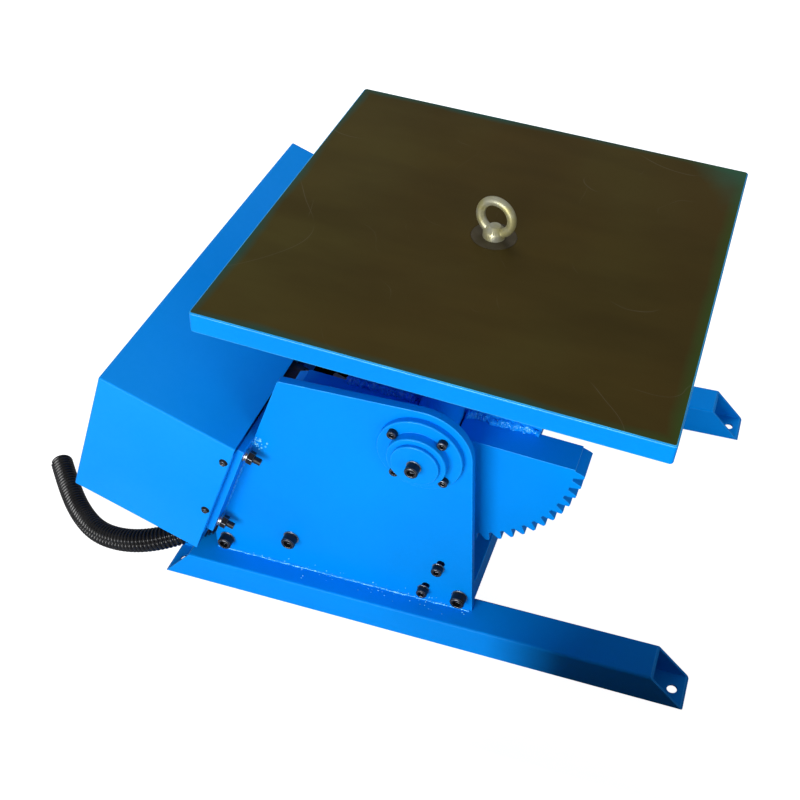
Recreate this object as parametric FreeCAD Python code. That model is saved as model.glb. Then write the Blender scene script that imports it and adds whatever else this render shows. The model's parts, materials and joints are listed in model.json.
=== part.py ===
# Bench welding positioner: a square steel table that turns on a spindle, carried in a
# cradle that tilts between two side plates. A half-disc sector gear tilts the cradle and
# a ring gear turns the table, each driven by a small worm gearmotor.
#
# Frame: millimetres, +Z up, origin at the centre of the four anchor holes on the floor.
# X runs along the skids, away from the rear cover. The near side of the object is -Y.
import FreeCAD, Part
import math
import os

V = FreeCAD.Vector
X_AXIS, Y_AXIS, Z_AXIS = V(1, 0, 0), V(0, 1, 0), V(0, 0, 1)

# Driving dimensions: base frame
base_length = 795.0          # skid length on the floor
base_width = 610.0           # over the outer faces of the skids
tube_width = 58.0            # skid tube, across
tube_height = 54.0           # skid tube, upright
tube_wall = 4.0
tube_corner = 4.0            # outer corner radius of the skid tube
end_cut = 49.0               # how much longer the tube's floor is than its top, at each end
anchor_inset = 19.5          # anchor hole centre from the skid's end
anchor_hole_d = 14.0

# Driving dimensions: side plates
plate_t = 12.0
plate_inset = 32.0           # side plate's outer face from the skid's outer face
plate_back = 84.0            # side plate's back edge from the skid's back end
plate_foot = 30.0            # height of the upright part of the back edge
slant = 22.8                 # lean of the side plate's back edge, degrees from upright
nose_r = 68.0                # rounded upper front corner, centred on the tilt pivot
crown_r = 5.0                # small rounding of the upper back corner
pivot_from_back = 418.0      # tilt pivot from the skid's back end
pivot_z = 354.0

# Driving dimensions: tilt bearing and trunnion
flange_d = 115.0
flange_t = 9.0
collar_d = 80.0
collar_h = 13.0
spigot_d = 70.0
flange_screw_square = 66.0   # flange screws, centre to centre
bush_wall = 5.0
bush_lip_d = 72.0
bush_lip_t = 2.5
trunnion_d = 45.0
trunnion_shoulder_d = 60.0
shoulder_gap = 0.4           # axial play between the shoulder and the bush's lip
running_gap = 0.05           # radial clearance of every shaft in its bore
end_disc_d = 64.0
end_disc_t = 5.0
end_disc_gap = 0.4           # axial play between the end disc and the bearing collar

# Driving dimensions: sector gear and its pinion
tilt_module = 6.0
sector_full_teeth = 66       # teeth that a whole wheel of this size would have
sector_teeth = 33
sector_t = 46.0
sector_standoff = 30.5       # side plate's inner face to the sector's face
tilt_pinion_teeth = 12
tilt_pinion_width = 48.0
tilt_pinion_shaft_d = 25.0
pressure_angle = 20.0
backlash = 0.5               # tooth thinning on the pitch circle, per wheel
root_relief = 1.1            # how far a small pinion's tooth narrows below its base circle
rest_tilt = 5.0              # table tilt in the pose as built, degrees

# Driving dimensions: cradle
arm_t = 20.0
arm_width = 268.0            # along the table
arm_shoulder = 10.0          # where the arm starts to taper, below the pivot
arm_lobe_r = 62.0
arm_corner = 18.0
cradle_plate_t = 16.0
notch_gap = 3.0              # clearance of the sector's half-round cut about the trunnion

# Driving dimensions: table and spindle
table_size = 600.0
table_t = 30.0
table_edge = 1.5             # bevel of the table's edges
table_corner = 5.0           # rounding of the table's four upright edges
table_height = 152.0         # table's top face above the pivot
hub_d = 62.0                 # spindle end that shows flush in the table's top
hub_gap = 0.2
spindle_d = 60.0
spindle_flange_d = 140.0
spindle_flange_t = 14.0
housing_d = 110.0
housing_flange_d = 174.0
housing_flange_t = 12.0
housing_drop = 52.0          # housing below the cradle plate's top
housing_rise = 24.0          # housing above the cradle plate's top
ring_gap = 2.0               # clearance of the ring gear over the housing
bearing_d = 95.0
bearing_w = 18.0
ring_module = 4.0
ring_teeth = 60
ring_t = 28.0
ring_bore_d = 150.0
ring_screw_pcd = 190.0
spin_pinion_teeth = 15
drive_reach = 248.5          # the arm's inner face plus the pinion's distance back from the spindle
spin_shaft_d = 18.0
lock_nut_d = 80.0
lock_slot = 8.0              # width of the lock nut's spanner slots
lock_slot_depth = 4.0
lock_nut_t = 13.6
lock_nut_gap = 0.4

# Driving dimensions: drives
drive_plate_distance = 306.5  # drive bracket's middle from the slanted back edge
drive_plate_t = 14.0
drive_screw_low = 122.0       # bracket screws, up the slope from the foot of the slant
drive_screw_high = 182.5
drive_plate_end = 20.0        # bracket beyond its screws
sector_notch_gap = 4.0        # clearance round the sector in the bracket
slot_travel = 10.0
tilt_box_gap = 15.5           # tilt gearbox from the sector's inner face
motor_gap = 4.0               # clearance round the motor in the rear plate's cut-out

# Driving dimensions: worm gearboxes and motors
gearbox_corner = 12.0
input_flange_t = 8.0
hub_wall = 9.0
rib_t = 4.0
tilt_box_half = 56.0          # gearbox length from its output shaft to its foot
tilt_offset = 40.0            # worm's axis from the output shaft
tilt_width = 78.0
tilt_input = 70.0             # output shaft to the motor's seat
tilt_wheel_r = 45.0
tilt_worm_r = 28.0
tilt_flange_r = 52.0
tilt_motor_r = 50.0
tilt_motor_length = 230.0
foot_screw_square = 64.0
spin_box_half = 40.0
spin_offset = 30.0
spin_width = 66.0
spin_input = 55.0
spin_wheel_r = 36.0
spin_worm_r = 22.0
spin_flange_r = 44.0
spin_motor_r = 45.0
spin_motor_length = 152.0
spin_box_w = -25.0            # gearbox middle, above the pivot

# Driving dimensions: rear plate and cover
rear_plate_t = 10.0
rear_plate_low = 47.0         # up the slope from the foot of the slant
rear_plate_high = 245.0
rear_bolt_low = 60.0
rear_bolt_high = 223.0
rear_bolt_in = 16.0           # bolt from the plate's end
cover_gap = 1.0
cover_t = 2.0
cover_bend = 3.0
cover_low = 7.0
cover_high = 257.0
cover_depth = 203.0
cover_overhang = 12.5         # cover beyond the base, each side
cover_angle_leg = 40.0
cover_angle_t = 3.0
cover_screw_low = 105.0
cover_screw_high = 222.0
cover_screw_in = 8.0          # cover screw from the cover's open edge

# Driving dimensions: cross members
front_bar_x = 33.0            # front bar's depth, back from the side plates' front edge
front_bar_height = 38.0
front_bar_lift = 10.0         # above the skids
front_screw_back = 18.0       # its screw, back from the side plates' front edge
middle_bar_at = (128.6, 35.0)  # centre from the foot of the slant, along X and Z
middle_bar_r = 14.0
lug_screw_at = (20.6, -3.5)   # lug's screw from the foot of the slant, along X and Z
lug_t = 5.0
lug_width = 38.0
lug_top = 120.0               # up the slope from the foot of the slant
lug_bottom = 12.0             # below the foot of the slant

# Driving dimensions: conduit
conduit_d = 36.0
gland_d = 48.0
gland_length = 26.0
gland_plate_t = 4.0

# Places worked out from the driving dimensions
skid_back = -base_length / 2
half_width = base_width / 2
plate_out = half_width - plate_inset
plate_in = plate_out - plate_t
pivot_x = skid_back + pivot_from_back
plate_front = pivot_x + nose_r
foot_x = skid_back + plate_back
foot_z = tube_height + plate_foot
sector_out = plate_in - sector_standoff
sector_in = sector_out - sector_t
arm_out = sector_in
arm_in = arm_out - arm_t
table_low = table_height - table_t
ring_low = table_low - ring_t
housing_top = ring_low - ring_gap
cradle_deck = housing_top - housing_rise
plate_low = cradle_deck - cradle_plate_t
arm_top = plate_low          # arm's top edge above the pivot
drive_face = drive_plate_distance - drive_plate_t / 2


def placed(shape, place):
    moved = shape.copy()
    moved.Placement = place.multiply(shape.Placement)
    return moved


def at(point, axis=Z_AXIS, angle=0.0):
    return FreeCAD.Placement(point, FreeCAD.Rotation(axis, angle))


# Two tilted working frames: up the slanted back edge, and in the cradle
SLANT = at(V(foot_x, 0, foot_z), Y_AXIS, slant)
CRADLE = at(V(pivot_x, 0, pivot_z), Y_AXIS, rest_tilt)


def on_slant(shape):
    return placed(shape, SLANT)


def on_cradle(shape):
    return placed(shape, CRADLE)


def far_side(shape):
    return shape.mirror(V(0, 0, 0), Y_AXIS)


def box(x0, x1, y0, y1, z0, z1):
    return Part.makeBox(x1 - x0, y1 - y0, z1 - z0, V(x0, y0, z0))


def rod(radius, start, end):
    along = end.sub(start)
    return Part.makeCylinder(radius, along.Length, start, along)


def ring(outer_r, inner_r, start, end):
    return rod(outer_r, start, end).cut(rod(inner_r, start, end))


def rounded_rectangle(x0, x1, y0, y1, radius):
    """Closed wire in the XY plane with round corners."""
    corners = [(x1, y0, 270), (x1, y1, 0), (x0, y1, 90), (x0, y0, 180)]
    arcs = []
    for x, y, start in corners:
        centre_x = x - math.copysign(radius, x - (x0 + x1) / 2)
        centre_y = y - math.copysign(radius, y - (y0 + y1) / 2)
        circle = Part.Circle(V(centre_x, centre_y, 0), Z_AXIS, radius)
        arcs.append(Part.Arc(circle, math.radians(start), math.radians(start + 90)).toShape())
    edges = []
    for index, arc in enumerate(arcs):
        following = arcs[(index + 1) % 4]
        edges.append(arc)
        edges.append(Part.makeLine(arc.lastVertex().Point, following.firstVertex().Point))
    return Part.Wire(Part.__sortEdges__(edges))


def extrude_wire(wire, along):
    return Part.Face(wire).extrude(along)


def upright_prism(points, y0, y1):
    """Solid whose outline is given in X and Z and which runs from y0 to y1."""
    outline = Part.makePolygon([V(x, y0, z) for x, z in points + points[:1]])
    return extrude_wire(outline, V(0, y1 - y0, 0))


def aimed(shape, point, direction):
    """Turn a shape that points along +Z so that it points along direction, at point."""
    return placed(shape, FreeCAD.Placement(point, FreeCAD.Rotation(Z_AXIS, direction)))


def hexagon(across_flats, height, z0=0.0):
    corner_r = across_flats / math.sqrt(3)
    points = [V(corner_r * math.cos(math.radians(a)), corner_r * math.sin(math.radians(a)), z0)
              for a in range(0, 361, 60)]
    return extrude_wire(Part.makePolygon(points), V(0, 0, height))


# Screw sizes: thread, head diameter, head height, key across flats, washer's diameter and
# thickness
CAP_M8 = (8.0, 13.0, 8.0, 6.0, 0.0, 0.0)
CAP_M10 = (10.0, 16.0, 10.0, 8.0, 18.0, 1.6)
CAP_M12 = (12.0, 18.0, 12.0, 10.0, 20.0, 2.0)
CAP_M14 = (14.0, 21.0, 14.0, 12.0, 24.0, 2.0)
LOW_M10 = (10.0, 16.0, 6.0, 6.0, 0.0, 0.0)
PLAIN_M10 = (10.0, 16.0, 8.0, 8.0, 0.0, 0.0)
washer_slack = 0.3           # washer's bore over its screw's thread, on the radius
screw_slack = 0.15           # thread's radius below its hole's
key_depth = 0.55             # depth of the key socket, of the head's height


def cap_screw(size, length):
    """Socket head cap screw that points along -Z, with its washer from z = 0 up."""
    thread, head_d, head_h, key, washer_d, seat = size
    head = rod(head_d / 2, V(0, 0, seat), V(0, 0, seat + head_h))
    rim = [edge for edge in head.Edges if edge.BoundBox.ZMin > seat + head_h - 0.1]
    head = head.makeChamfer(0.08 * head_d, rim[:1])
    head = head.cut(hexagon(key, head_h, seat + head_h * (1 - key_depth)))
    shank = rod(thread / 2 - screw_slack, V(0, 0, -length), V(0, 0, seat + 1))
    solids = [head.fuse(shank).removeSplitter()]
    if seat:
        solids.append(ring(washer_d / 2, thread / 2 + washer_slack, V(0, 0, 0), V(0, 0, seat)))
    return Part.makeCompound(solids)


def hex_bolt(thread, across, head_h, length):
    """Hexagon bolt that points along -Z, with its seat at z = 0."""
    return hexagon(across, head_h).fuse(rod(thread / 2 - screw_slack, V(0, 0, -length), V(0, 0, 1)))


def round_about(radius, angles):
    """Points on a circle about the origin, at these angles in degrees."""
    return [(radius * math.cos(math.radians(angle)), radius * math.sin(math.radians(angle)))
            for angle in angles]


def solids_of(shapes):
    """One compound of separate solids."""
    return Part.makeCompound([solid for shape in shapes for solid in shape.Solids])


# Gears
def involute(angle):
    return math.tan(angle) - angle


def spur_outline(module, teeth, first, count, thinning, relief=0.0):
    """Edges of count teeth in the XY plane, going down in angle from tooth centre first."""
    pitch_r = module * teeth / 2
    base_r = pitch_r * math.cos(math.radians(pressure_angle))
    tip_r = pitch_r + module
    root_r = pitch_r - 1.25 * module
    start_r = max(base_r, root_r)
    pitch_half = math.pi / (2 * teeth) - thinning / (2 * pitch_r)

    def half_angle(radius):
        return pitch_half + involute(math.radians(pressure_angle)) - involute(math.acos(base_r / radius))

    def point(radius, angle):
        return V(radius * math.cos(angle), radius * math.sin(angle), 0)

    step = 2 * math.pi / teeth
    foot_half = half_angle(start_r) - relief / root_r
    middle_r = (start_r + tip_r) / 2
    edges = []
    for index in range(count):
        centre = math.radians(first) - index * step
        tip_half = half_angle(tip_r)
        start_half = half_angle(start_r)
        up = [point(start_r, centre + start_half), point(middle_r, centre + half_angle(middle_r)),
              point(tip_r, centre + tip_half)]
        down = [point(tip_r, centre - tip_half), point(middle_r, centre - half_angle(middle_r)),
                point(start_r, centre - start_half)]
        foot_up = point(root_r, centre + foot_half)
        foot_down = point(root_r, centre - foot_half)
        if start_r > root_r:
            edges.append(Part.makeLine(foot_up, up[0]))
        edges.append(Part.Arc(*up).toShape())
        edges.append(Part.Arc(up[2], point(tip_r, centre), down[0]).toShape())
        edges.append(Part.Arc(*down).toShape())
        if start_r > root_r:
            edges.append(Part.makeLine(down[2], foot_down))
        if index < count - 1 or count == teeth:
            next_up = point(root_r, centre - step + foot_half)
            edges.append(Part.Arc(foot_down, point(root_r, centre - step / 2), next_up).toShape())
    return edges, point(root_r, math.radians(first) + foot_half), foot_down


def spur_gear(module, teeth, first, width, thinning, relief=0.0):
    """Whole gear from z = 0 to z = width, with one tooth centred on the angle first."""
    edges = spur_outline(module, teeth, first, teeth, thinning, relief)[0]
    return extrude_wire(Part.Wire(edges), V(0, 0, width))


def mesh_angle(wheel_teeth, wheel_first, pinion_teeth, centre_angle):
    """Angle of one pinion tooth so that it meshes at centre_angle with a wheel's teeth."""
    wheel_step = 360.0 / wheel_teeth
    offset = (wheel_first - centre_angle + wheel_step / 2) % wheel_step - wheel_step / 2
    gap = centre_angle + 180.0 - offset * wheel_teeth / pinion_teeth
    return gap + 180.0 / pinion_teeth


nodes = {}


# Skids: mitred rectangular tubes with an anchor hole in the floor wall at each end
def skid():
    outer = rounded_rectangle(-tube_width / 2, tube_width / 2, 0, tube_height, tube_corner)
    inner = rounded_rectangle(-tube_width / 2 + tube_wall, tube_width / 2 - tube_wall,
                              tube_wall, tube_height - tube_wall, tube_corner / 4)
    tube = extrude_wire(outer, V(0, 0, base_length)).cut(extrude_wire(inner, V(0, 0, base_length)))
    turn = FreeCAD.Rotation(V(0, 1, 0), V(0, 0, 1), V(1, 0, 0), "ZXY")
    tube = placed(tube, FreeCAD.Placement(V(skid_back, half_width - tube_width / 2, 0), turn))
    for end in (-1, 1):
        tip = end * base_length / 2
        wedge = [(tip + end * end_cut, -tube_height), (tip - 2 * end * end_cut, 2 * tube_height),
                 (tip + 2 * end * end_cut, 2 * tube_height)]
        wedge = upright_prism(wedge, half_width - tube_width - 1, half_width + 1)
        tube = tube.cut(wedge)
        hole = V(end * (base_length / 2 - anchor_inset), half_width - tube_width / 2, -1)
        tube = tube.cut(rod(anchor_hole_d / 2, hole, hole + V(0, 0, tube_wall + 2)))
    return tube


nodes["skid_far"] = skid()
nodes["skid_near"] = far_side(nodes["skid_far"])


# Side plates: flat profile with a slanted back edge and a nose round the pivot
def slant_point(distance, rise, y=0.0):
    return SLANT.multVec(V(distance, y, rise))


flange_screws_at = [(pivot_x + i * flange_screw_square / 2, pivot_z + k * flange_screw_square / 2)
                    for i in (-1, 1) for k in (-1, 1)]
front_screw = (plate_front - front_screw_back, tube_height + front_bar_lift + front_bar_height / 2)
middle_screw = (foot_x + middle_bar_at[0], foot_z + middle_bar_at[1])
lug_screw = (foot_x + lug_screw_at[0], foot_z + lug_screw_at[1])
frame_screws_at = [front_screw, middle_screw, lug_screw]


def side_plate():
    crown_z = pivot_z + nose_r
    crown_x = foot_x + (crown_z - foot_z) * math.tan(math.radians(slant))
    nose = Part.Circle(V(pivot_x, 0, pivot_z), V(0, -1, 0), nose_r)
    points = [V(plate_front, 0, pivot_z), V(plate_front, 0, tube_height), V(foot_x, 0, tube_height),
              V(foot_x, 0, foot_z), V(crown_x, 0, crown_z), V(pivot_x, 0, crown_z)]
    quarter = Part.Arc(points[-1], V(pivot_x + nose_r * math.sqrt(0.5), 0, pivot_z + nose_r * math.sqrt(0.5)),
                       points[0])
    wire = Part.Wire([quarter.toShape()] + Part.makePolygon(points).Edges)
    plate = placed(extrude_wire(wire, V(0, plate_t, 0)), at(V(0, plate_in, 0)))
    corner = [edge for edge in plate.Edges if edge.BoundBox.XLength < 0.01 and edge.BoundBox.ZLength < 0.01
              and abs(edge.BoundBox.XMin - crown_x) < 0.1 and abs(edge.BoundBox.ZMin - crown_z) < 0.1]
    plate = plate.makeFillet(crown_r, corner)

    def drill(x, z, radius):
        return rod(radius, V(x, plate_in - 1, z), V(x, plate_out + 1, z))

    cuts = [drill(pivot_x, pivot_z, spigot_d / 2 + running_gap)]
    cuts += [drill(x, z, CAP_M8[0] / 2) for x, z in flange_screws_at]
    cuts += [drill(x, z, CAP_M14[0] / 2 + 0.5) for x, z in frame_screws_at]
    for rise in (drive_screw_low, drive_screw_high):
        slot_r = CAP_M10[0] / 2 + 0.5
        low = slant_point(drive_plate_distance, rise - 1)
        high = slant_point(drive_plate_distance, rise + slot_travel)
        slot = box(-slot_r, slot_r, plate_in - 1, plate_out + 1, 0, high.sub(low).Length)
        cuts.append(placed(slot, at(low, Y_AXIS, slant)))
        cuts += [drill(end.x, end.z, slot_r) for end in (low, high)]
    for cut in cuts:
        plate = plate.cut(cut)
    return plate


nodes["side_plate_far"] = side_plate()
nodes["side_plate_near"] = far_side(nodes["side_plate_far"])


# Cross members: a square front bar and a round tie bar, tapped at both ends
frame_thread = 22.0          # thread of a screw that reaches into its cross member
tapped_depth = 26.0
frame_screw_length = plate_t + frame_thread
bar_inset = 0.5              # front bar behind the side plates' front edge


def tapped_bar(blank, x, z, size):
    for side in (-1, 1):
        mouth = V(x, side * (plate_in + 1), z)
        blank = blank.cut(rod(size[0] / 2, mouth, V(x, side * (plate_in - tapped_depth), z)))
    return blank


front_blank = box(plate_front - front_bar_x, plate_front - bar_inset, -plate_in, plate_in,
                  tube_height + front_bar_lift, tube_height + front_bar_lift + front_bar_height)
nodes["front_cross_bar"] = tapped_bar(front_blank, front_screw[0], front_screw[1], CAP_M14)
middle_blank = rod(middle_bar_r, V(middle_screw[0], -plate_in, middle_screw[1]),
                   V(middle_screw[0], plate_in, middle_screw[1]))
nodes["middle_tie_bar"] = tapped_bar(middle_blank, middle_screw[0], middle_screw[1], CAP_M14)


# Lugs: welded to the rear plate's face and bolted inside the side plates' feet
def rear_lug():
    outline = [(0, rear_plate_low + 4), (0, lug_top), (lug_width * 0.7, lug_top), (lug_width, lug_top * 0.75),
               (lug_width, -lug_bottom), (8, -lug_bottom), (8, rear_plate_low - 8)]
    lug = on_slant(upright_prism(outline, plate_in - lug_t, plate_in))
    x, z = lug_screw
    return lug.cut(rod(CAP_M14[0] / 2 + 0.5, V(x, plate_in - lug_t - 1, z), V(x, plate_in + 1, z)))


nodes["rear_lug_far"] = rear_lug()
nodes["rear_lug_near"] = far_side(nodes["rear_lug_far"])
lug_nut_h = 7.0
lug_nut_across = 22.0
lug_screw_length = plate_t + lug_t + lug_nut_h + 1.0
frame_hardware = [aimed(cap_screw(CAP_M14, frame_screw_length), V(x, side * plate_out, z), V(0, side, 0))
                  for x, z in (front_screw, middle_screw) for side in (-1, 1)]
for side in (-1, 1):
    seat = V(lug_screw[0], side * plate_out, lug_screw[1])
    nut = hexagon(lug_nut_across, lug_nut_h).cut(rod(CAP_M14[0] / 2, V(0, 0, -1), V(0, 0, lug_nut_h + 1)))
    frame_hardware.append(aimed(cap_screw(CAP_M14, lug_screw_length), seat, V(0, side, 0)))
    frame_hardware.append(aimed(nut, seat - V(0, side * (plate_t + lug_t), 0), V(0, -side, 0)))
nodes["frame_screws"] = solids_of(frame_hardware)


# Tilt bearings: a flanged housing outside each side plate, with a bronze bush
bush_d = trunnion_d + 2 * running_gap + 2 * bush_wall
collar_face = plate_out + flange_t + collar_h


def on_pivot(y):
    return V(pivot_x, y, pivot_z)


def bearing_flange():
    flange_face = plate_out + flange_t
    body = rod(flange_d / 2, on_pivot(plate_out), on_pivot(flange_face))
    body = body.fuse(rod(collar_d / 2, on_pivot(plate_out), on_pivot(collar_face)))
    body = body.fuse(rod(spigot_d / 2, on_pivot(plate_in), on_pivot(plate_out + 1)))
    body = body.removeSplitter()
    rims = [edge for edge in body.Edges if edge.Closed and edge.BoundBox.YLength < 0.01
            and ((abs(edge.BoundBox.YMin - collar_face) < 0.01 and edge.BoundBox.XLength > collar_d - 1)
                 or (abs(edge.BoundBox.YMin - flange_face) < 0.01 and edge.BoundBox.XLength > flange_d - 1))]
    body = body.makeChamfer(1.2, rims)
    body = body.cut(rod(bush_d / 2, on_pivot(plate_in - 1), on_pivot(collar_face + 1)))
    for x, z in flange_screws_at:
        body = body.cut(rod(CAP_M8[0] / 2 + 0.5, V(x, plate_out - 1, z), V(x, flange_face + 1, z)))
    return body


def trunnion_bush():
    inner_r = trunnion_d / 2 + running_gap
    bush = ring(bush_d / 2, inner_r, on_pivot(plate_in - bush_lip_t), on_pivot(collar_face))
    lip = ring(bush_lip_d / 2, inner_r, on_pivot(plate_in - bush_lip_t), on_pivot(plate_in))
    return bush.fuse(lip).removeSplitter()


nodes["bearing_flange_far"] = bearing_flange()
nodes["bearing_flange_near"] = far_side(nodes["bearing_flange_far"])
nodes["trunnion_bush_far"] = trunnion_bush()
nodes["trunnion_bush_near"] = far_side(nodes["trunnion_bush_far"])
nodes["flange_screws"] = solids_of([aimed(cap_screw(CAP_M8, flange_t + plate_t - 2),
                                          V(x, side * (plate_out + flange_t), z), V(0, side, 0))
                                    for x, z in flange_screws_at for side in (-1, 1)])


# Tilt drive bracket: a plate across the frame, let down for the sector and held in slots
sector_tip_r = tilt_module * (sector_full_teeth / 2 + 1)
pivot_slant = SLANT.inverse().multVec(V(pivot_x, 0, pivot_z))
tilt_centres = tilt_module * (sector_full_teeth + tilt_pinion_teeth) / 2
tilt_box_d = drive_face - tilt_box_half
tilt_box_s = pivot_slant.z - math.sqrt(tilt_centres ** 2 - (tilt_box_d - pivot_slant.x) ** 2)
tilt_bore_r = tilt_pinion_shaft_d / 2 + running_gap
tilt_box_y = -(sector_in - tilt_box_gap - tilt_width / 2)


def drive_bracket():
    low = drive_screw_low - drive_plate_end
    high = drive_screw_high + drive_plate_end
    plate = box(drive_face, drive_face + drive_plate_t, -plate_in, plate_in, low, high)
    reach = sector_tip_r + sector_notch_gap
    floor = pivot_slant.z - math.sqrt(reach ** 2 - (drive_face - pivot_slant.x) ** 2) - 2
    plate = plate.cut(box(drive_face - 1, drive_face + drive_plate_t + 1, -sector_out - sector_notch_gap,
                          plate_in - 34, floor, high + 1))
    for side in (-1, 1):
        for rise in (drive_screw_low, drive_screw_high):
            mouth = V(drive_plate_distance, side * (plate_in + 1), rise)
            end = V(drive_plate_distance, side * (plate_in - tapped_depth), rise)
            plate = plate.cut(rod(CAP_M10[0] / 2, mouth, end))
    for y, rise in foot_screws_at:
        start = V(drive_face - 1, y, rise)
        plate = plate.cut(rod(CAP_M8[0] / 2 + 0.5, start, V(drive_face + drive_plate_t + 1, y, rise)))
    corners = [edge for edge in plate.Edges if edge.BoundBox.YLength < 0.01 and edge.BoundBox.ZLength < 0.01
               and abs(edge.BoundBox.ZMin - floor) < 0.01]
    return on_slant(plate.makeFillet(6, corners))


foot_screws_at = [(tilt_box_y + i * foot_screw_square / 2, tilt_box_s + k * foot_screw_square / 2 - 6)
                  for i in (-1, 1) for k in (-1, 1)]
nodes["drive_bracket"] = drive_bracket()
bracket_screws_at = [(rise, side) for rise in (drive_screw_low, drive_screw_high) for side in (-1, 1)]
nodes["bracket_screws"] = solids_of([aimed(cap_screw(CAP_M10, frame_screw_length),
                                           slant_point(drive_plate_distance, rise, side * plate_out),
                                           V(0, side, 0))
                                     for rise, side in bracket_screws_at])


# Worm gearbox: local frame with the output shaft on Z and the worm along X at y = offset.
# The motor side is +X and the foot side is -X. Its cast shape follows its wheel and worm.
def worm_gearbox(offset, width, half_length, input_length, wheel_r, worm_r, bore_r, flange_r):
    nose = half_length * 0.86
    throat_end = input_length - input_flange_t
    outline = rounded_rectangle(-half_length, nose, -wheel_r, offset + worm_r * 0.8, gearbox_corner)
    shell = placed(extrude_wire(outline, V(0, 0, width * 0.72)), at(V(0, 0, -width * 0.36)))
    barrel = rod(worm_r, V(-half_length * 0.9, offset, 0), V(throat_end, offset, 0))
    throat = Part.makeCone(worm_r, flange_r * 0.86, throat_end - nose, V(nose, offset, 0), X_AXIS)
    input_flange = rod(flange_r, V(throat_end, offset, 0), V(input_length, offset, 0))
    hubs = rod(wheel_r * 0.84, V(0, 0, -width * 0.44), V(0, 0, width * 0.44))
    hubs = hubs.fuse(rod(bore_r + hub_wall, V(0, 0, -width / 2), V(0, 0, width / 2)))
    body = shell.fuse([barrel, throat, input_flange, hubs])
    rib = box(-wheel_r * 0.95, wheel_r * 0.95, -rib_t / 2, rib_t / 2, -width * 0.4, width * 0.4)
    for angle in range(0, 180, 45):
        body = body.fuse(placed(rib, at(V(0, 0, 0), Z_AXIS, angle)))
    return body.cut(rod(bore_r, V(0, 0, -width), V(0, 0, width))).removeSplitter()


# Gearmotor body: finned shell along +X from x = 0, with its terminal box on +Y. The fan cover's
# cup laps over the bare end of the shell.
motor_flange_t = 12.0
fin_t = 2.4
cup_lap = 8.0
shell_share = 0.76           # shell's length, of the motor's
core_share = 0.86            # shell's radius below the fins, of the motor's


def motor_body(radius, length, fins):
    core_r = radius * core_share
    end = length * shell_share
    body = rod(core_r, V(1, 0, 0), V(end, 0, 0))
    body = body.fuse(rod(radius, V(0, 0, 0), V(motor_flange_t, 0, 0)))
    for index in range(fins):
        fin = box(motor_flange_t, end - cup_lap - 1, -fin_t / 2, fin_t / 2, core_r - 2, radius)
        body = body.fuse(placed(fin, at(V(0, 0, 0), X_AXIS, (index + 0.5) * 360.0 / fins)))
    terminal = box(length * 0.22, length * 0.56, -radius * 0.5, radius * 0.5, 0, radius * 1.28)
    upright = [edge for edge in terminal.Edges
               if edge.BoundBox.XLength < 0.01 and edge.BoundBox.YLength < 0.01]
    body = body.fuse(terminal.makeFillet(5, upright))
    return body.removeSplitter()


def fan_cover(radius, length):
    start, end = length * shell_share, length
    cup = rod(radius, V(start - cup_lap, 0, 0), V(end, 0, 0))
    rim = [edge for edge in cup.Edges if edge.BoundBox.XMin > end - 0.1]
    cup = cup.makeFillet(radius * 0.2, rim[:1])
    cup = cup.cut(rod(radius * core_share, V(start - cup_lap - 1, 0, 0), V(start + 0.1, 0, 0)))
    cup = cup.cut(rod(radius * 0.94, V(start, 0, 0), V(end - 10, 0, 0)))
    for index in range(8):
        slot = box(end - 12, end + 1, -2.5, 2.5, radius * 0.25, radius * 0.68)
        cup = cup.cut(placed(slot, at(V(0, 0, 0), X_AXIS, index * 45)))
    return cup


# Tilt drive: output shaft level, worm and motor square to the slanted rear plate
turned = FreeCAD.Rotation(Z_AXIS, 180).multiply(FreeCAD.Rotation(X_AXIS, 90))
TILT_BOX = SLANT.multiply(FreeCAD.Placement(V(tilt_box_d, tilt_box_y, tilt_box_s), turned))
tilt_box = worm_gearbox(tilt_offset, tilt_width, tilt_box_half, tilt_input, tilt_wheel_r, tilt_worm_r,
                        tilt_bore_r, tilt_flange_r)
for y, rise in foot_screws_at:
    start = V(-tilt_box_half - 1, rise - tilt_box_s, y - tilt_box_y)
    tilt_box = tilt_box.cut(rod(CAP_M8[0] / 2, start, start + V(14, 0, 0)))
nodes["tilt_gearbox"] = placed(tilt_box, TILT_BOX)
nodes["tilt_gearbox_screws"] = solids_of([on_slant(aimed(cap_screw(CAP_M8, drive_plate_t + 11),
                                                         V(drive_face + drive_plate_t, y, rise), X_AXIS))
                                          for y, rise in foot_screws_at])
TILT_MOTOR = TILT_BOX.multiply(at(V(tilt_input, tilt_offset, 0)))
nodes["tilt_motor"] = placed(motor_body(tilt_motor_r, tilt_motor_length, 20), TILT_MOTOR)
nodes["tilt_motor_fan_cover"] = placed(fan_cover(tilt_motor_r, tilt_motor_length), TILT_MOTOR)

# Tilt pinion and its shaft, in mesh with the sector at rest
tilt_pinion_point = slant_point(tilt_box_d, tilt_box_s)
mesh_line = math.degrees(math.atan2(tilt_pinion_point.z - pivot_z, tilt_pinion_point.x - pivot_x))
sector_step = 360.0 / sector_full_teeth
pinion_first = mesh_angle(sector_full_teeth, -rest_tilt - sector_step / 2, tilt_pinion_teeth, mesh_line)
pinion_mid_y = -(sector_out + sector_in) / 2
tilt_shaft_start = pinion_mid_y - tilt_pinion_width / 2 - 3
tilt_shaft_end = tilt_box_y + tilt_width / 2 + 4
pinion = spur_gear(tilt_module, tilt_pinion_teeth, pinion_first, tilt_pinion_width, backlash, root_relief)
pinion = pinion.cut(rod(tilt_pinion_shaft_d / 2, V(0, 0, -1), V(0, 0, tilt_pinion_width + 1)))
nodes["tilt_pinion"] = placed(pinion, at(V(tilt_pinion_point.x, pinion_mid_y + tilt_pinion_width / 2,
                                           tilt_pinion_point.z), X_AXIS, 90))
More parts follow.
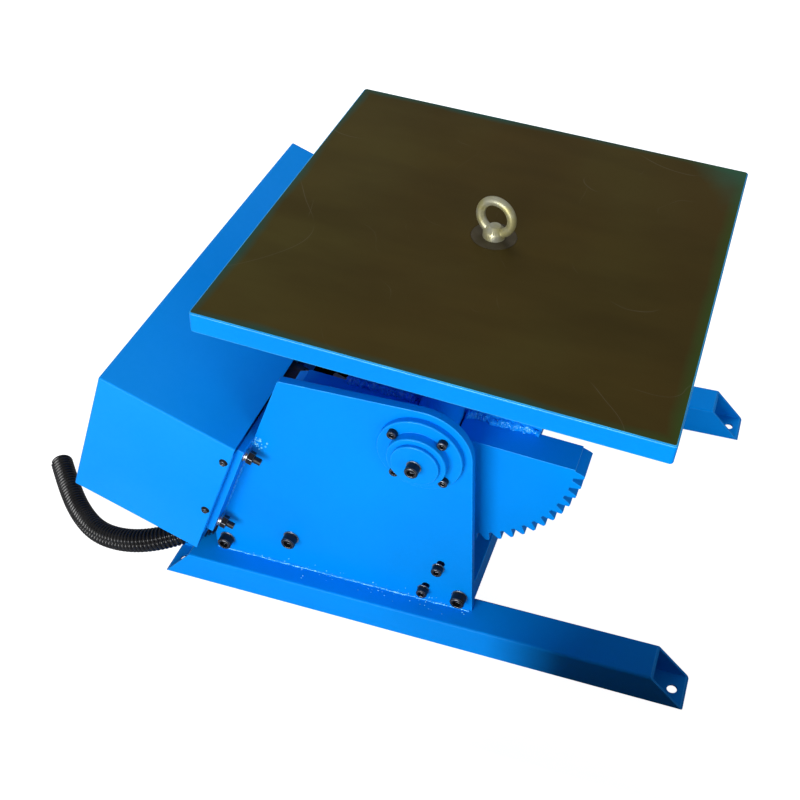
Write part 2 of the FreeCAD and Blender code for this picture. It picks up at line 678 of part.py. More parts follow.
shaft = rod(tilt_pinion_shaft_d / 2, V(tilt_pinion_point.x, tilt_shaft_start, tilt_pinion_point.z),
            V(tilt_pinion_point.x, tilt_shaft_end, tilt_pinion_point.z))
ends = [edge for edge in shaft.Edges if edge.Closed and edge.BoundBox.YLength < 0.01]
nodes["tilt_pinion_shaft"] = shaft.makeChamfer(1.5, ends)


# Sector gear: a half disc with its flat edge through the pivot and clear of the trunnion
def sector_gear():
    edges, start, end = spur_outline(tilt_module, sector_full_teeth, -sector_step / 2, sector_teeth, backlash)
    root_r = start.Length
    right, left = V(root_r, 0, 0), V(-root_r, 0, 0)
    edges.append(Part.Arc(start, V(root_r * math.cos(start.y / root_r / 2), start.y / 2, 0), right).toShape())
    edges.append(Part.makeLine(right, left))
    edges.append(Part.Arc(left, V(-root_r * math.cos(end.y / root_r / 2), end.y / 2, 0), end).toShape())
    plate = extrude_wire(Part.Wire(Part.__sortEdges__(edges)), V(0, 0, sector_t))
    plate = plate.cut(rod(trunnion_shoulder_d / 2 + notch_gap, V(0, 0, -1), V(0, 0, sector_t + 1)))
    return on_cradle(placed(plate, at(V(0, -sector_in, 0), X_AXIS, 90)))


nodes["sector_gear"] = sector_gear()


# Cradle arms: tapered plates with a round lobe below the trunnion, under one deck plate
def cradle_arm():
    half = arm_width / 2
    shoulder = V(half, 0, -arm_shoulder)
    distance = shoulder.Length
    lean = math.atan2(-arm_shoulder, half) - math.acos(arm_lobe_r / distance)
    tangent = V(arm_lobe_r * math.cos(lean), 0, arm_lobe_r * math.sin(lean))
    mirrored = V(-tangent.x, 0, tangent.z)
    lobe = Part.Arc(tangent, V(0, 0, -arm_lobe_r), mirrored).toShape()
    points = [mirrored, V(-half, 0, -arm_shoulder), V(-half, 0, arm_top), V(half, 0, arm_top),
              shoulder, tangent]
    arm = extrude_wire(Part.Wire([lobe] + Part.makePolygon(points).Edges), V(0, arm_t, 0))
    corners = [edge for edge in arm.Edges if edge.BoundBox.XLength < 0.01 and edge.BoundBox.ZLength < 0.01
               and abs(abs(edge.BoundBox.XMin) - half) < 0.01]
    arm = arm.makeFillet(arm_corner / 3, corners)
    arm = arm.cut(rod(trunnion_d / 2, V(0, -1, 0), V(0, arm_t + 1, 0)))
    return placed(arm, at(V(0, arm_in, 0)))


far_arm = cradle_arm()
nodes["cradle_arm_far"] = on_cradle(far_arm)
nodes["cradle_arm_near"] = on_cradle(far_side(far_arm))


# Trunnions: stepped shafts, welded in the arms and held at the outside by an end disc
def trunnion():
    tail = arm_in - 6
    shoulder_face = plate_in - bush_lip_t - shoulder_gap
    end = collar_face + end_disc_gap
    shaft = rod(trunnion_d / 2, V(0, tail, 0), V(0, end, 0))
    shaft = shaft.fuse(rod(trunnion_shoulder_d / 2, V(0, arm_out, 0), V(0, shoulder_face, 0)))
    shaft = shaft.removeSplitter()
    return shaft.cut(rod(CAP_M12[0] / 2, V(0, end - 30, 0), V(0, end + 1, 0)))


def end_disc():
    face = collar_face + end_disc_gap
    disc = rod(end_disc_d / 2, V(0, face, 0), V(0, face + end_disc_t, 0))
    rim = [edge for edge in disc.Edges if edge.BoundBox.YMin > face + end_disc_t - 0.1]
    disc = disc.makeChamfer(1.0, rim[:1])
    return disc.cut(rod(CAP_M12[0] / 2 + 0.5, V(0, face - 1, 0), V(0, face + end_disc_t + 1, 0)))


nodes["trunnion_far"] = on_cradle(trunnion())
nodes["trunnion_near"] = on_cradle(far_side(trunnion()))
nodes["end_disc_far"] = on_cradle(end_disc())
nodes["end_disc_near"] = on_cradle(far_side(end_disc()))
disc_face = collar_face + end_disc_gap + end_disc_t
nodes["end_disc_screws"] = solids_of([on_cradle(aimed(cap_screw(CAP_M12, end_disc_t + 24),
                                                      V(0, side * disc_face, 0), V(0, side, 0)))
                                      for side in (-1, 1)])

# Spin drive, hung under the deck plate. The pinion stands beside the ring gear.
ring_pitch_r = ring_module * ring_teeth / 2
spin_centres = ring_module * (ring_teeth + spin_pinion_teeth) / 2
spin_x = arm_in - drive_reach
spin_y = -math.sqrt(spin_centres ** 2 - spin_x ** 2)
spin_pinion_angle = math.degrees(math.atan2(spin_y, spin_x))
spin_bore_r = spin_shaft_d / 2 + running_gap
neck_r = 34.0
neck_screw_r = 27.0
neck_screws_at = [(spin_x + x, spin_y + y) for x, y in round_about(neck_screw_r, (45, 135, 225, 315))]
housing_screws_at = round_about((housing_d + housing_flange_d) / 4, range(30, 390, 60))


def cradle_deck_plate():
    half = arm_width / 2
    deck = extrude_wire(rounded_rectangle(-half, half, -arm_out, arm_out, 8), V(0, 0, cradle_plate_t))
    deck = placed(deck, at(V(0, 0, plate_low)))
    holes = [(0, 0, housing_d / 2 + 0.5), (spin_x, spin_y, 16.0)]
    holes += [(x, y, CAP_M8[0] / 2 + 0.5) for x, y in neck_screws_at]
    holes += [(x, y, CAP_M10[0] / 2) for x, y in housing_screws_at]
    for x, y, radius in holes:
        deck = deck.cut(rod(radius, V(x, y, plate_low - 1), V(x, y, cradle_deck + 1)))
    return deck


nodes["cradle_deck"] = on_cradle(cradle_deck_plate())

spin_box = worm_gearbox(spin_offset, spin_width, spin_box_half, spin_input, spin_wheel_r, spin_worm_r,
                        spin_bore_r, spin_flange_r)
neck = ring(neck_r, spin_bore_r, V(0, 0, spin_width * 0.4), V(0, 0, plate_low - spin_box_w))
for x, y in neck_screws_at:
    neck = neck.cut(rod(CAP_M8[0] / 2, V(x - spin_x, y - spin_y, plate_low - spin_box_w - 16),
                        V(x - spin_x, y - spin_y, plate_low - spin_box_w + 1)))
SPIN_BOX = CRADLE.multiply(at(V(spin_x, spin_y, spin_box_w)))
nodes["spin_gearbox"] = placed(spin_box.fuse(neck).removeSplitter(), SPIN_BOX)
nodes["spin_gearbox_screws"] = solids_of([on_cradle(aimed(cap_screw(CAP_M8, cradle_plate_t + 14),
                                                          V(x, y, cradle_deck), Z_AXIS))
                                          for x, y in neck_screws_at])
SPIN_MOTOR = SPIN_BOX.multiply(at(V(spin_input, spin_offset, 0), X_AXIS, 180))
nodes["spin_motor"] = placed(motor_body(spin_motor_r, spin_motor_length, 18), SPIN_MOTOR)
nodes["spin_motor_fan_cover"] = placed(fan_cover(spin_motor_r, spin_motor_length), SPIN_MOTOR)

spin_first = mesh_angle(ring_teeth, 0.0, spin_pinion_teeth, spin_pinion_angle)
spin_pinion = spur_gear(ring_module, spin_pinion_teeth, spin_first, ring_t, backlash * 0.8, root_relief * 0.6)
spin_pinion = spin_pinion.cut(rod(spin_shaft_d / 2, V(0, 0, -1), V(0, 0, ring_t + 1)))
nodes["spin_pinion"] = on_cradle(placed(spin_pinion, at(V(spin_x, spin_y, ring_low - 1))))
spin_shaft = rod(spin_shaft_d / 2, V(spin_x, spin_y, spin_box_w - spin_width / 2 - 3),
                 V(spin_x, spin_y, table_low - 1.5))
nodes["spin_pinion_shaft"] = on_cradle(spin_shaft)

# Spindle housing with its two bearings
housing_low = cradle_deck - housing_drop
upper_seat = housing_top - bearing_w
lower_seat = housing_low + 4.0


def spindle_housing():
    body = rod(housing_d / 2, V(0, 0, housing_low), V(0, 0, housing_top))
    flange_top = cradle_deck + housing_flange_t
    body = body.fuse(rod(housing_flange_d / 2, V(0, 0, cradle_deck), V(0, 0, flange_top)))
    body = body.removeSplitter()
    body = body.cut(rod(spindle_d / 2 + 6, V(0, 0, housing_low - 1), V(0, 0, housing_top + 1)))
    for low in (lower_seat, upper_seat):
        reach = housing_low - 1 if low == lower_seat else low
        top = low + bearing_w if low == lower_seat else housing_top + 1
        body = body.cut(rod(bearing_d / 2, V(0, 0, reach), V(0, 0, top)))
    for x, y in housing_screws_at:
        body = body.cut(rod(CAP_M10[0] / 2 + 0.5, V(x, y, cradle_deck - 1), V(x, y, housing_top)))
    return body


nodes["spindle_housing"] = on_cradle(spindle_housing())
nodes["housing_screws"] = solids_of([on_cradle(aimed(cap_screw(LOW_M10,
                                                               housing_flange_t + cradle_plate_t - 2),
                                                     V(x, y, cradle_deck + housing_flange_t), Z_AXIS))
                                     for x, y in housing_screws_at])


def bearing(low):
    """Sealed bearing as one ring with a shallow groove in each face."""
    outer_r, inner_r = bearing_d / 2, spindle_d / 2 + running_gap
    body = ring(outer_r, inner_r, V(0, 0, low), V(0, 0, low + bearing_w))
    for face in (low - 1, low + bearing_w - 0.8):
        groove = ring(outer_r - 4, inner_r + 4, V(0, 0, face), V(0, 0, face + 1.8))
        body = body.cut(groove)
    return on_cradle(body)


nodes["spindle_bearing_upper"] = bearing(upper_seat)
nodes["spindle_bearing_lower"] = bearing(lower_seat)

# Spindle, lock nut and ring gear
spindle_tail = lower_seat - lock_nut_gap - lock_nut_t
eye_thread_d = 12.0
eye_thread_length = 27.0
eye_hole_depth = 33.0
spindle_flange_low = table_low - spindle_flange_t
spindle_screws_at = round_about((hub_d + spindle_flange_d) / 4 + 1, range(0, 360, 60))


def spindle():
    body = rod(hub_d / 2, V(0, 0, table_low), V(0, 0, table_height))
    body = body.fuse(rod(spindle_flange_d / 2, V(0, 0, spindle_flange_low), V(0, 0, table_low)))
    body = body.fuse(rod(spindle_d / 2, V(0, 0, spindle_tail), V(0, 0, table_low - 1)))
    body = body.fuse(rod(spindle_d / 2 + 5, V(0, 0, housing_top + 0.4), V(0, 0, table_low - 1)))
    body = body.removeSplitter()
    body = body.cut(rod(eye_thread_d / 2, V(0, 0, table_height - eye_hole_depth), V(0, 0, table_height + 1)))
    for x, y in spindle_screws_at:
        body = body.cut(rod(CAP_M10[0] / 2 + 0.5, V(x, y, spindle_flange_low - 1), V(x, y, table_low + 1)))
    return body


nodes["spindle"] = on_cradle(spindle())
nodes["spindle_screws"] = solids_of([on_cradle(aimed(cap_screw(PLAIN_M10, spindle_flange_t + 18),
                                                     V(x, y, spindle_flange_low), V(0, 0, -1)))
                                     for x, y in spindle_screws_at])
lock_nut = ring(lock_nut_d / 2, spindle_d / 2, V(0, 0, spindle_tail), V(0, 0, lower_seat - lock_nut_gap))
for angle in range(0, 360, 90):
    slot = box(lock_nut_d / 2 - lock_slot_depth, lock_nut_d / 2 + 1, -lock_slot / 2, lock_slot / 2,
               spindle_tail - 1, lower_seat)
    lock_nut = lock_nut.cut(placed(slot, at(V(0, 0, 0), Z_AXIS, angle)))
nodes["spindle_lock_nut"] = on_cradle(lock_nut)

ring_screws_at = round_about(ring_screw_pcd / 2, range(30, 390, 60))
ring_screw_seat = ring_low + CAP_M8[2] + 1


def ring_gear():
    wheel = spur_gear(ring_module, ring_teeth, 0.0, ring_t, backlash * 0.8)
    wheel = placed(wheel, at(V(0, 0, ring_low)))
    wheel = wheel.cut(rod(ring_bore_d / 2, V(0, 0, ring_low - 1), V(0, 0, table_low + 1)))
    for x, y in ring_screws_at:
        wheel = wheel.cut(rod(CAP_M8[0] / 2 + 0.5, V(x, y, ring_low - 1), V(x, y, table_low + 1)))
        wheel = wheel.cut(rod(CAP_M8[1] / 2 + 1, V(x, y, ring_low - 1), V(x, y, ring_screw_seat)))
    return wheel


nodes["ring_gear"] = on_cradle(ring_gear())
nodes["ring_gear_screws"] = solids_of([on_cradle(aimed(cap_screw(CAP_M8, table_low - ring_screw_seat + 14),
                                                       V(x, y, ring_screw_seat), V(0, 0, -1)))
                                       for x, y in ring_screws_at])


# Table plate: machined square with a centre hole for the spindle's end
def table_plate():
    half = table_size / 2
    plate = box(-half, half, -half, half, table_low, table_height)
    upright = [edge for edge in plate.Edges if edge.BoundBox.ZLength > table_t - 0.1]
    plate = plate.makeFillet(table_corner, upright)
    plate = plate.makeChamfer(table_edge, [edge for edge in plate.Edges if edge.BoundBox.ZLength < 0.1])
    plate = plate.cut(rod(hub_d / 2 + hub_gap, V(0, 0, table_low - 1), V(0, 0, table_height + 1)))
    for x, y in spindle_screws_at:
        plate = plate.cut(rod(CAP_M10[0] / 2, V(x, y, table_low - 1), V(x, y, table_low + 20)))
    for x, y in ring_screws_at:
        plate = plate.cut(rod(CAP_M8[0] / 2, V(x, y, table_low - 1), V(x, y, table_low + 16)))
    return plate


nodes["table_plate"] = on_cradle(table_plate())

# Eye bolt: forged ring on a collar, screwed into the spindle's end
eye_ring_d = 60.0
eye_hole_d = 35.0
eye_collar_d = 31.0
eye_collar_h = 9.0
eye_yaw = -14.0


def eye_bolt():
    section_r = (eye_ring_d - eye_hole_d) / 4
    middle_r = (eye_ring_d + eye_hole_d) / 4
    loop = Part.makeTorus(middle_r, section_r, V(0, 0, table_height + eye_ring_d / 2 + 0.2), Y_AXIS)
    collar = rod(eye_collar_d / 2, V(0, 0, table_height), V(0, 0, table_height + eye_collar_h))
    shoulder = Part.makeCone(eye_collar_d / 2, section_r * 1.2, section_r * 1.3,
                             V(0, 0, table_height + eye_collar_h))
    body = collar.fuse([shoulder, loop])
    body = body.fuse(rod(eye_thread_d / 2 - screw_slack, V(0, 0, table_height - eye_thread_length),
                         V(0, 0, table_height + 1))).removeSplitter()
    return placed(body, at(V(0, 0, 0), Z_AXIS, eye_yaw))


nodes["eye_bolt"] = on_cradle(eye_bolt())


# Rear plate: across the back of the frame, with a cut-out that the tilt motor passes through
def rear_mount_plate():
    plate = box(-rear_plate_t, 0, -half_width, half_width, rear_plate_low, rear_plate_high)
    motor_s = tilt_box_s + tilt_offset
    gap_r = tilt_motor_r + motor_gap
    cut = rod(gap_r, V(-rear_plate_t - 1, tilt_box_y, motor_s), V(1, tilt_box_y, motor_s))
    cut = cut.fuse(box(-rear_plate_t - 1, 1, tilt_box_y - gap_r, tilt_box_y + gap_r,
                       motor_s, rear_plate_high + 1))
    plate = plate.cut(cut)
    for y, rise in rear_bolts_at:
        plate = plate.cut(rod(rear_bolt_d / 2 + 0.5, V(-rear_plate_t - 1, y, rise), V(1, y, rise)))
    return on_slant(plate)


rear_bolt_d = 10.0
rear_bolts_at = [(side * (half_width - rear_bolt_in), rise) for side in (-1, 1)
                 for rise in (rear_bolt_low, rear_bolt_high)]
nodes["rear_mount_plate"] = rear_mount_plate()

# Rear cover: folded sheet box, open towards the rear plate
cover_front = -rear_plate_t - cover_gap
cover_back = cover_front - cover_depth
cover_half = half_width + cover_overhang
cover_screws_at = [(side, rise) for side in (-1, 1) for rise in (cover_screw_low, cover_screw_high)]
cover_screw_d = 6.0


def rear_cover():
    shell = box(cover_back, cover_front, -cover_half, cover_half, cover_low, cover_high)
    bends = [edge for edge in shell.Edges if edge.BoundBox.XMax < cover_front - 0.1
             or (edge.BoundBox.YLength < 0.01 and edge.BoundBox.ZLength < 0.01)]
    shell = shell.makeFillet(cover_bend, bends)
    hollow = box(cover_back + cover_t, cover_front + 1, -cover_half + cover_t, cover_half - cover_t,
                 cover_low + cover_t, cover_high - cover_t)
    shell = shell.cut(hollow)
    for side, rise in cover_screws_at:
        start = V(cover_front - cover_screw_in, side * (cover_half - cover_t - 1), rise)
        shell = shell.cut(rod(cover_screw_d / 2 + 0.3, start, start + V(0, side * (cover_t + 2), 0)))
    return on_slant(shell)


nodes["rear_cover"] = rear_cover()


# Cover angles: bolted behind the rear plate's ends, with the cover screwed to them
def cover_angle():
    back = -rear_plate_t
    face = cover_half - cover_t
    low, high = rear_plate_low + 3, rear_plate_high - 3
    angle = box(back - cover_angle_t, back, face - cover_angle_leg, face, low, high)
    angle = angle.fuse(box(back - cover_angle_leg * 0.8, back, face - cover_angle_t, face, low, high))
    angle = angle.removeSplitter()
    for side, rise in cover_screws_at[2:]:
        start = V(cover_front - cover_screw_in, face - cover_angle_t - 1, rise)
        angle = angle.cut(rod(cover_screw_d / 2, start, start + V(0, cover_angle_t + 2, 0)))
    for y, rise in rear_bolts_at[2:]:
        start = V(back - cover_angle_t - 1, y, rise)
        angle = angle.cut(rod(rear_bolt_d / 2 + 0.5, start, V(back + 1, y, rise)))
    return angle


nodes["cover_angle_far"] = on_slant(cover_angle())
nodes["cover_angle_near"] = on_slant(far_side(cover_angle()))


def button_screw(thread, head_d, head_h, length):
    head = Part.makeCone(head_d / 2, head_d * 0.32, head_h, V(0, 0, 0))
    head = head.cut(hexagon(head_d * 0.32, head_h, head_h * 0.45))
    return head.fuse(rod(thread / 2 - screw_slack, V(0, 0, -length), V(0, 0, 0.5))).removeSplitter()


cover_screw = button_screw(cover_screw_d, 13.0, 3.6, cover_t + cover_angle_t + 6)
nodes["cover_screws"] = solids_of([on_slant(aimed(cover_screw,
                                                  V(cover_front - cover_screw_in, side * cover_half, rise),
                                                  V(0, side, 0)))
                                   for side, rise in cover_screws_at])


# Rear bolts: hexagon heads inside the cover, nuts and washers on the side plates' side
rear_washer_t = 2.0
rear_nut_seat = rear_washer_t + 2.5
rear_nut_t = 8.4
rear_bolt_end = rear_nut_seat + rear_nut_t + 11.1


def rear_bolt_set(y, rise):
    head_seat = -rear_plate_t - cover_angle_t
    bolt = hex_bolt(rear_bolt_d, 16.0, 6.4, rear_bolt_end - head_seat)
    bolt = aimed(bolt, V(head_seat, y, rise), V(-1, 0, 0))
    bore_r = rear_bolt_d / 2 + washer_slack
    flat = ring(10.0, bore_r, V(0, y, rise), V(rear_washer_t, y, rise))
    spring = ring(8.0, bore_r, V(rear_washer_t, y, rise), V(rear_nut_seat, y, rise))
    nut = hexagon(17.0, rear_nut_t).cut(rod(rear_bolt_d / 2, V(0, 0, -1), V(0, 0, rear_nut_t + 1)))
    nut = aimed(nut, V(rear_nut_seat, y, rise), X_AXIS)
    return [on_slant(piece) for piece in (bolt, flat, spring, nut)]


nodes["rear_bolts"] = solids_of([piece for y, rise in rear_bolts_at for piece in rear_bolt_set(y, rise)])

# Conduit: from a gland inside the frame, over the near skid and round to its plain cut end.
# The route is chosen by hand: from the skid's back end and its outer face, above the floor.
conduit_route = [(192, 117, 74.5), (150, 109.5, 74.5), (104, 90, 74.5), (62, 56, 73.5), (32, 24, 73),
                 (-18, 5, 58), (-70, 3.5, 42), (-125, 17, 28), (-177, 49.5, 19.5), (-227, 94, 18.5),
                 (-272.5, 143, 18.5)]
conduit_points = [V(skid_back + x, -half_width + y, z) for x, y, z in conduit_route]


def cord_path(points):
    """Straight runs joined by tangent arcs, each as large as its two runs allow."""
    edges = []
    start = points[0]
    for before, corner, after in zip(points, points[1:], points[2:]):
        into, out = corner.sub(before), after.sub(corner)
        turn = into.getAngle(out)
        reach = 0.45 * min(into.Length, out.Length)
        radius = reach / math.tan(turn / 2)
        into.normalize()
        out.normalize()
        arc_start = corner - into * reach
        arc_end = corner + out * reach
        bisector = (out - into).normalize()
        middle = corner + bisector * (math.sqrt(radius ** 2 + reach ** 2) - radius)
        edges.append(Part.makeLine(start, arc_start))
        edges.append(Part.Arc(arc_start, middle, arc_end).toShape())
        print("conduit bend radius %.0f mm" % radius)
        start = arc_end
    edges.append(Part.makeLine(start, points[-1]))
    return Part.Wire(edges)


path = cord_path(conduit_points)
first_run = conduit_points[1].sub(conduit_points[0])
section = Part.Wire(Part.makeCircle(conduit_d / 2, conduit_points[0], first_run))
conduit = path.makePipeShell([section], True, False)
print("conduit length %.1f mm, volume against section times length %.4f"
      % (path.Length, conduit.Volume / (path.Length * math.pi * conduit_d ** 2 / 4)))
nodes["conduit"] = conduit

# Gland: a nut and body through a small plate on the near side plate's inner face
exit_point = conduit_points[0]
inward = conduit_points[0].sub(conduit_points[1]).normalize()
gland_end = exit_point + inward * gland_length
tail_nut = gland_plate_t + 8.0


def gland():
    body = rod(gland_d / 2, exit_point, exit_point + inward * (gland_length * 0.55))
    collar = aimed(hexagon(gland_d * 0.92, gland_length * 0.45), exit_point + inward * (gland_length * 0.55),
                   inward)
    thread = rod(gland_d * 0.36, gland_end - inward, gland_end + inward * (tail_nut + 2))
    nut = aimed(hexagon(gland_d * 0.9, 7.0), gland_end + inward * (gland_plate_t + 0.6), inward)
    body = body.fuse([collar, thread, nut]).removeSplitter()
    return body.cut(rod(gland_d * 0.27, exit_point + inward * 4, gland_end + inward * (tail_nut + 3)))


nodes["conduit_gland"] = gland()
# The gland's plate stands square to the conduit, from the side plate's inner face
sideways = Z_AXIS.cross(inward)
square_to_gland = FreeCAD.Rotation(sideways, Z_AXIS, inward, "ZXY")
gland_plate_half = gland_d / 2 + 5
gland_plate_rise = gland_plate_half + exit_point.z - tube_height
upright = Part.makeBox(plate_in + gland_plate_half, gland_plate_rise, gland_plate_t,
                       V(-plate_in, tube_height - exit_point.z, 0))
gland_plate = placed(upright, FreeCAD.Placement(gland_end + inward * 0.4, square_to_gland))
frame_space = box(-base_length, base_length, -plate_in, plate_in, tube_height, 4 * tube_height)
gland_plate = gland_plate.common(frame_space)
hole_start = gland_end - inward * 3
nodes["gland_plate"] = gland_plate.cut(rod(gland_d * 0.36 + 0.3, hole_start, hole_start + inward * 14))

os.makedirs("parts", exist_ok=True)
for name, shape in nodes.items():
    shape.exportStep("parts/%s.step" % name)
print("nodes", len(nodes))
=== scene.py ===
# Welding positioner: a square table that turns on a spindle and tilts in a cradle, on a base of
# welded and bolted steel plate. After the camera and the conduit, the pieces come in the order in
# which the machine is put together.
import json
import math
import random

import bpy
from mathutils import Matrix, Vector

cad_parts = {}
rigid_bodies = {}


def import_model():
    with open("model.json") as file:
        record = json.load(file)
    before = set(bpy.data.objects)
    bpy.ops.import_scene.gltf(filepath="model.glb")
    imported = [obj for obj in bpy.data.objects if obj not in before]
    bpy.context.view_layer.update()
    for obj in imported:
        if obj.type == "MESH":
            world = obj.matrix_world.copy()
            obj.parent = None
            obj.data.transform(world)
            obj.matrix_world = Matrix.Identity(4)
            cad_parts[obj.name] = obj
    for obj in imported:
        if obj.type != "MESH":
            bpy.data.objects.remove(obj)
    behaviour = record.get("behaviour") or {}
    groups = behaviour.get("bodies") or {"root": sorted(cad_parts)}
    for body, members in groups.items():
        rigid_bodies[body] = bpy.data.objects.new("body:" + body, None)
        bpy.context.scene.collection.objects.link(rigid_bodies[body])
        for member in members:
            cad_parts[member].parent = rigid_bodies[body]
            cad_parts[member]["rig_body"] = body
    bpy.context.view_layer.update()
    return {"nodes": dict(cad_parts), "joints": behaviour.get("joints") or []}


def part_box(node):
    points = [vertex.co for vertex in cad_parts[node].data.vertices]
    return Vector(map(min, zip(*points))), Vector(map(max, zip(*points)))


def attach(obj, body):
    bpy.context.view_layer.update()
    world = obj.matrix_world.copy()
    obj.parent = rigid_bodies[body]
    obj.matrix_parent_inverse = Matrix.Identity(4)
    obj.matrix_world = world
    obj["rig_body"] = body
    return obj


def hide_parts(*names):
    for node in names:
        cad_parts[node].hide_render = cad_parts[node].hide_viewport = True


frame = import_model()


# Camera. It stands before the near side and looks down on the table at the photograph's angle,
# through a normal lens, with the slight roll of a camera held in the hand.
camera_at = Vector((0.3829, -1.2415, 1.3779))
camera_azimuth, camera_down, camera_roll = math.radians(21.8), math.radians(42.1), math.radians(-3.0)
photo_width, focal_length, sensor_width = 800, 1150, 36.0

forward = Vector((-math.sin(camera_azimuth) * math.cos(camera_down),
                  math.cos(camera_azimuth) * math.cos(camera_down), -math.sin(camera_down)))
level = Vector((math.cos(camera_azimuth), math.sin(camera_azimuth), 0))
upward = level.cross(forward)
rightward = level * math.cos(camera_roll) + upward * math.sin(camera_roll)
topward = upward * math.cos(camera_roll) - level * math.sin(camera_roll)
camera = bpy.data.objects.new("camera", bpy.data.cameras.new("camera"))
bpy.context.scene.collection.objects.link(camera)
camera.matrix_world = (Matrix.Translation(camera_at)
                       @ Matrix((rightward, topward, -forward)).transposed().to_4x4())
camera.data.sensor_width = sensor_width
camera.data.lens = focal_length * sensor_width / photo_width
bpy.context.scene.camera = camera


# Conduit: a split corrugated nylon tube that carries the motor leads. It leaves a gland inside
# the frame, crosses the near skid and lies round to a plain cut end, where its wires show.
conduit_route = [(-0.2055, -0.188, 0.0745), (-0.2475, -0.1955, 0.0745), (-0.2935, -0.215, 0.0745),
                 (-0.3355, -0.249, 0.0735), (-0.3655, -0.281, 0.073), (-0.4155, -0.300, 0.058),
                 (-0.4675, -0.3015, 0.042), (-0.5225, -0.288, 0.028), (-0.5745, -0.2555, 0.0195),
                 (-0.6245, -0.211, 0.0185), (-0.670, -0.162, 0.0185)]
conduit_length, conduit_d = 0.5517, 0.036
ridge_pitch = 0.0066
# One ridge: how far along the pitch, and the radius there, as shares of the pitch and the crest
ridge_profile = [(0.12, 0.865), (0.24, 0.955), (0.38, 0.995), (0.54, 1.0), (0.70, 0.975), (0.84, 0.90),
                 (1.0, 0.865)]
valley = ridge_profile[-1][1]
tube_sides = 40
slit_depth = 0.88
slit_side, slit_half = 36, 4.6           # where the slit runs round the tube, and half its width, degrees
lip_share, lip_depth = 0.80, 0.035       # the cut end's bore as a share of its edge, and its depth
tube_crease = 50                         # degrees


def select_only(piece):
    """Makes a piece the one that operators act on."""
    bpy.ops.object.select_all(action="DESELECT")
    piece.select_set(True)
    bpy.context.view_layer.objects.active = piece


def apply_modifier(piece, kind, **settings):
    """Adds a modifier with these settings and applies it."""
    select_only(piece)
    modifier = piece.modifiers.new(kind.lower(), kind)
    for setting, value in settings.items():
        setattr(modifier, setting, value)
    bpy.ops.object.modifier_apply(modifier=modifier.name)


def settle(piece):
    """Moves a piece's place into its mesh."""
    select_only(piece)
    bpy.ops.object.transform_apply(location=True, rotation=True, scale=True)


def new_group(name, inputs, outputs):
    """A node group with named sockets, and its input and output nodes."""
    group = bpy.data.node_groups.new(name, "ShaderNodeTree")
    for label, kind in inputs:
        group.interface.new_socket(label, in_out="INPUT", socket_type="NodeSocket" + kind)
    for label, kind in outputs:
        group.interface.new_socket(label, in_out="OUTPUT", socket_type="NodeSocket" + kind)
    return group, group.nodes.new("NodeGroupInput"), group.nodes.new("NodeGroupOutput")


def add_node(tree, kind, values=None, **settings):
    """A shader node with its settings and its sockets' own values."""
    made = tree.nodes.new("ShaderNode" + kind)
    for setting, value in settings.items():
        setattr(made, setting, value)
    for socket, value in (values or {}).items():
        made.inputs[socket].default_value = value
    return made


def connect(tree, *links):
    for start, end in links:
        tree.links.new(start, end)


def noise_in(tree, scale, detail=3.0, stretch=None):
    """Noise on Object coordinates, with its scale as a number or from a socket."""
    place = add_node(tree, "TexCoord").outputs["Object"]
    if stretch:
        mapping = add_node(tree, "Mapping", {"Scale": stretch})
        connect(tree, (place, mapping.inputs["Vector"]))
        place = mapping.outputs["Vector"]
    noise = add_node(tree, "TexNoise", {"Detail": detail})
    connect(tree, (place, noise.inputs["Vector"]))
    if isinstance(scale, (int, float)):
        noise.inputs["Scale"].default_value = scale
    else:
        connect(tree, (scale, noise.inputs["Scale"]))
    return noise.outputs["Fac"]


def spread(tree, value, low, high, to_low=0.0, to_high=1.0):
    """A value between low and high, spread over another range; the new range may be sockets."""
    made = add_node(tree, "MapRange", {"From Min": low, "From Max": high})
    connect(tree, (value, made.inputs["Value"]))
    for socket, end in (("To Min", to_low), ("To Max", to_high)):
        if isinstance(end, (int, float)):
            made.inputs[socket].default_value = end
        else:
            connect(tree, (end, made.inputs[socket]))
    return made.outputs["Result"]


def blend_colours(tree, share, first, second):
    """Two colours mixed by a share; each may be a colour or a socket."""
    made = add_node(tree, "Mix", data_type="RGBA")
    connect(tree, (share, made.inputs["Factor"]))
    for socket, colour in ((made.inputs["A"], first), (made.inputs["B"], second)):
        if isinstance(colour, tuple):
            socket.default_value = (*colour, 1.0)
        else:
            connect(tree, (colour, socket))
    return made.outputs["Result"]


# Two colours and two gloss levels that drift over a surface, in patches and in a fine grain
drift, drift_in, drift_out = new_group(
    "surface_drift",
    [("Colour", "Color"), ("Other colour", "Color"), ("Patch scale", "Float"), ("Grain scale", "Float"),
     ("Smooth", "Float"), ("Rough", "Float")],
    [("Colour", "Color"), ("Roughness", "Float")])
patches = spread(drift, noise_in(drift, drift_in.outputs["Patch scale"]), 0.38, 0.62, 0.0, 0.8)
grain = spread(drift, noise_in(drift, drift_in.outputs["Grain scale"], 2.0), 0.35, 0.65, 0.0, 0.2)
both = add_node(drift, "Math", operation="ADD")
mixed = add_node(drift, "Mix", data_type="RGBA")
gloss = spread(drift, both.outputs[0], 0.0, 1.0, drift_in.outputs["Smooth"], drift_in.outputs["Rough"])
connect(drift, (patches, both.inputs[0]), (grain, both.inputs[1]),
        (both.outputs[0], mixed.inputs["Factor"]), (drift_in.outputs["Colour"], mixed.inputs["A"]),
        (drift_in.outputs["Other colour"], mixed.inputs["B"]),
        (mixed.outputs["Result"], drift_out.inputs["Colour"]), (gloss, drift_out.inputs["Roughness"]))

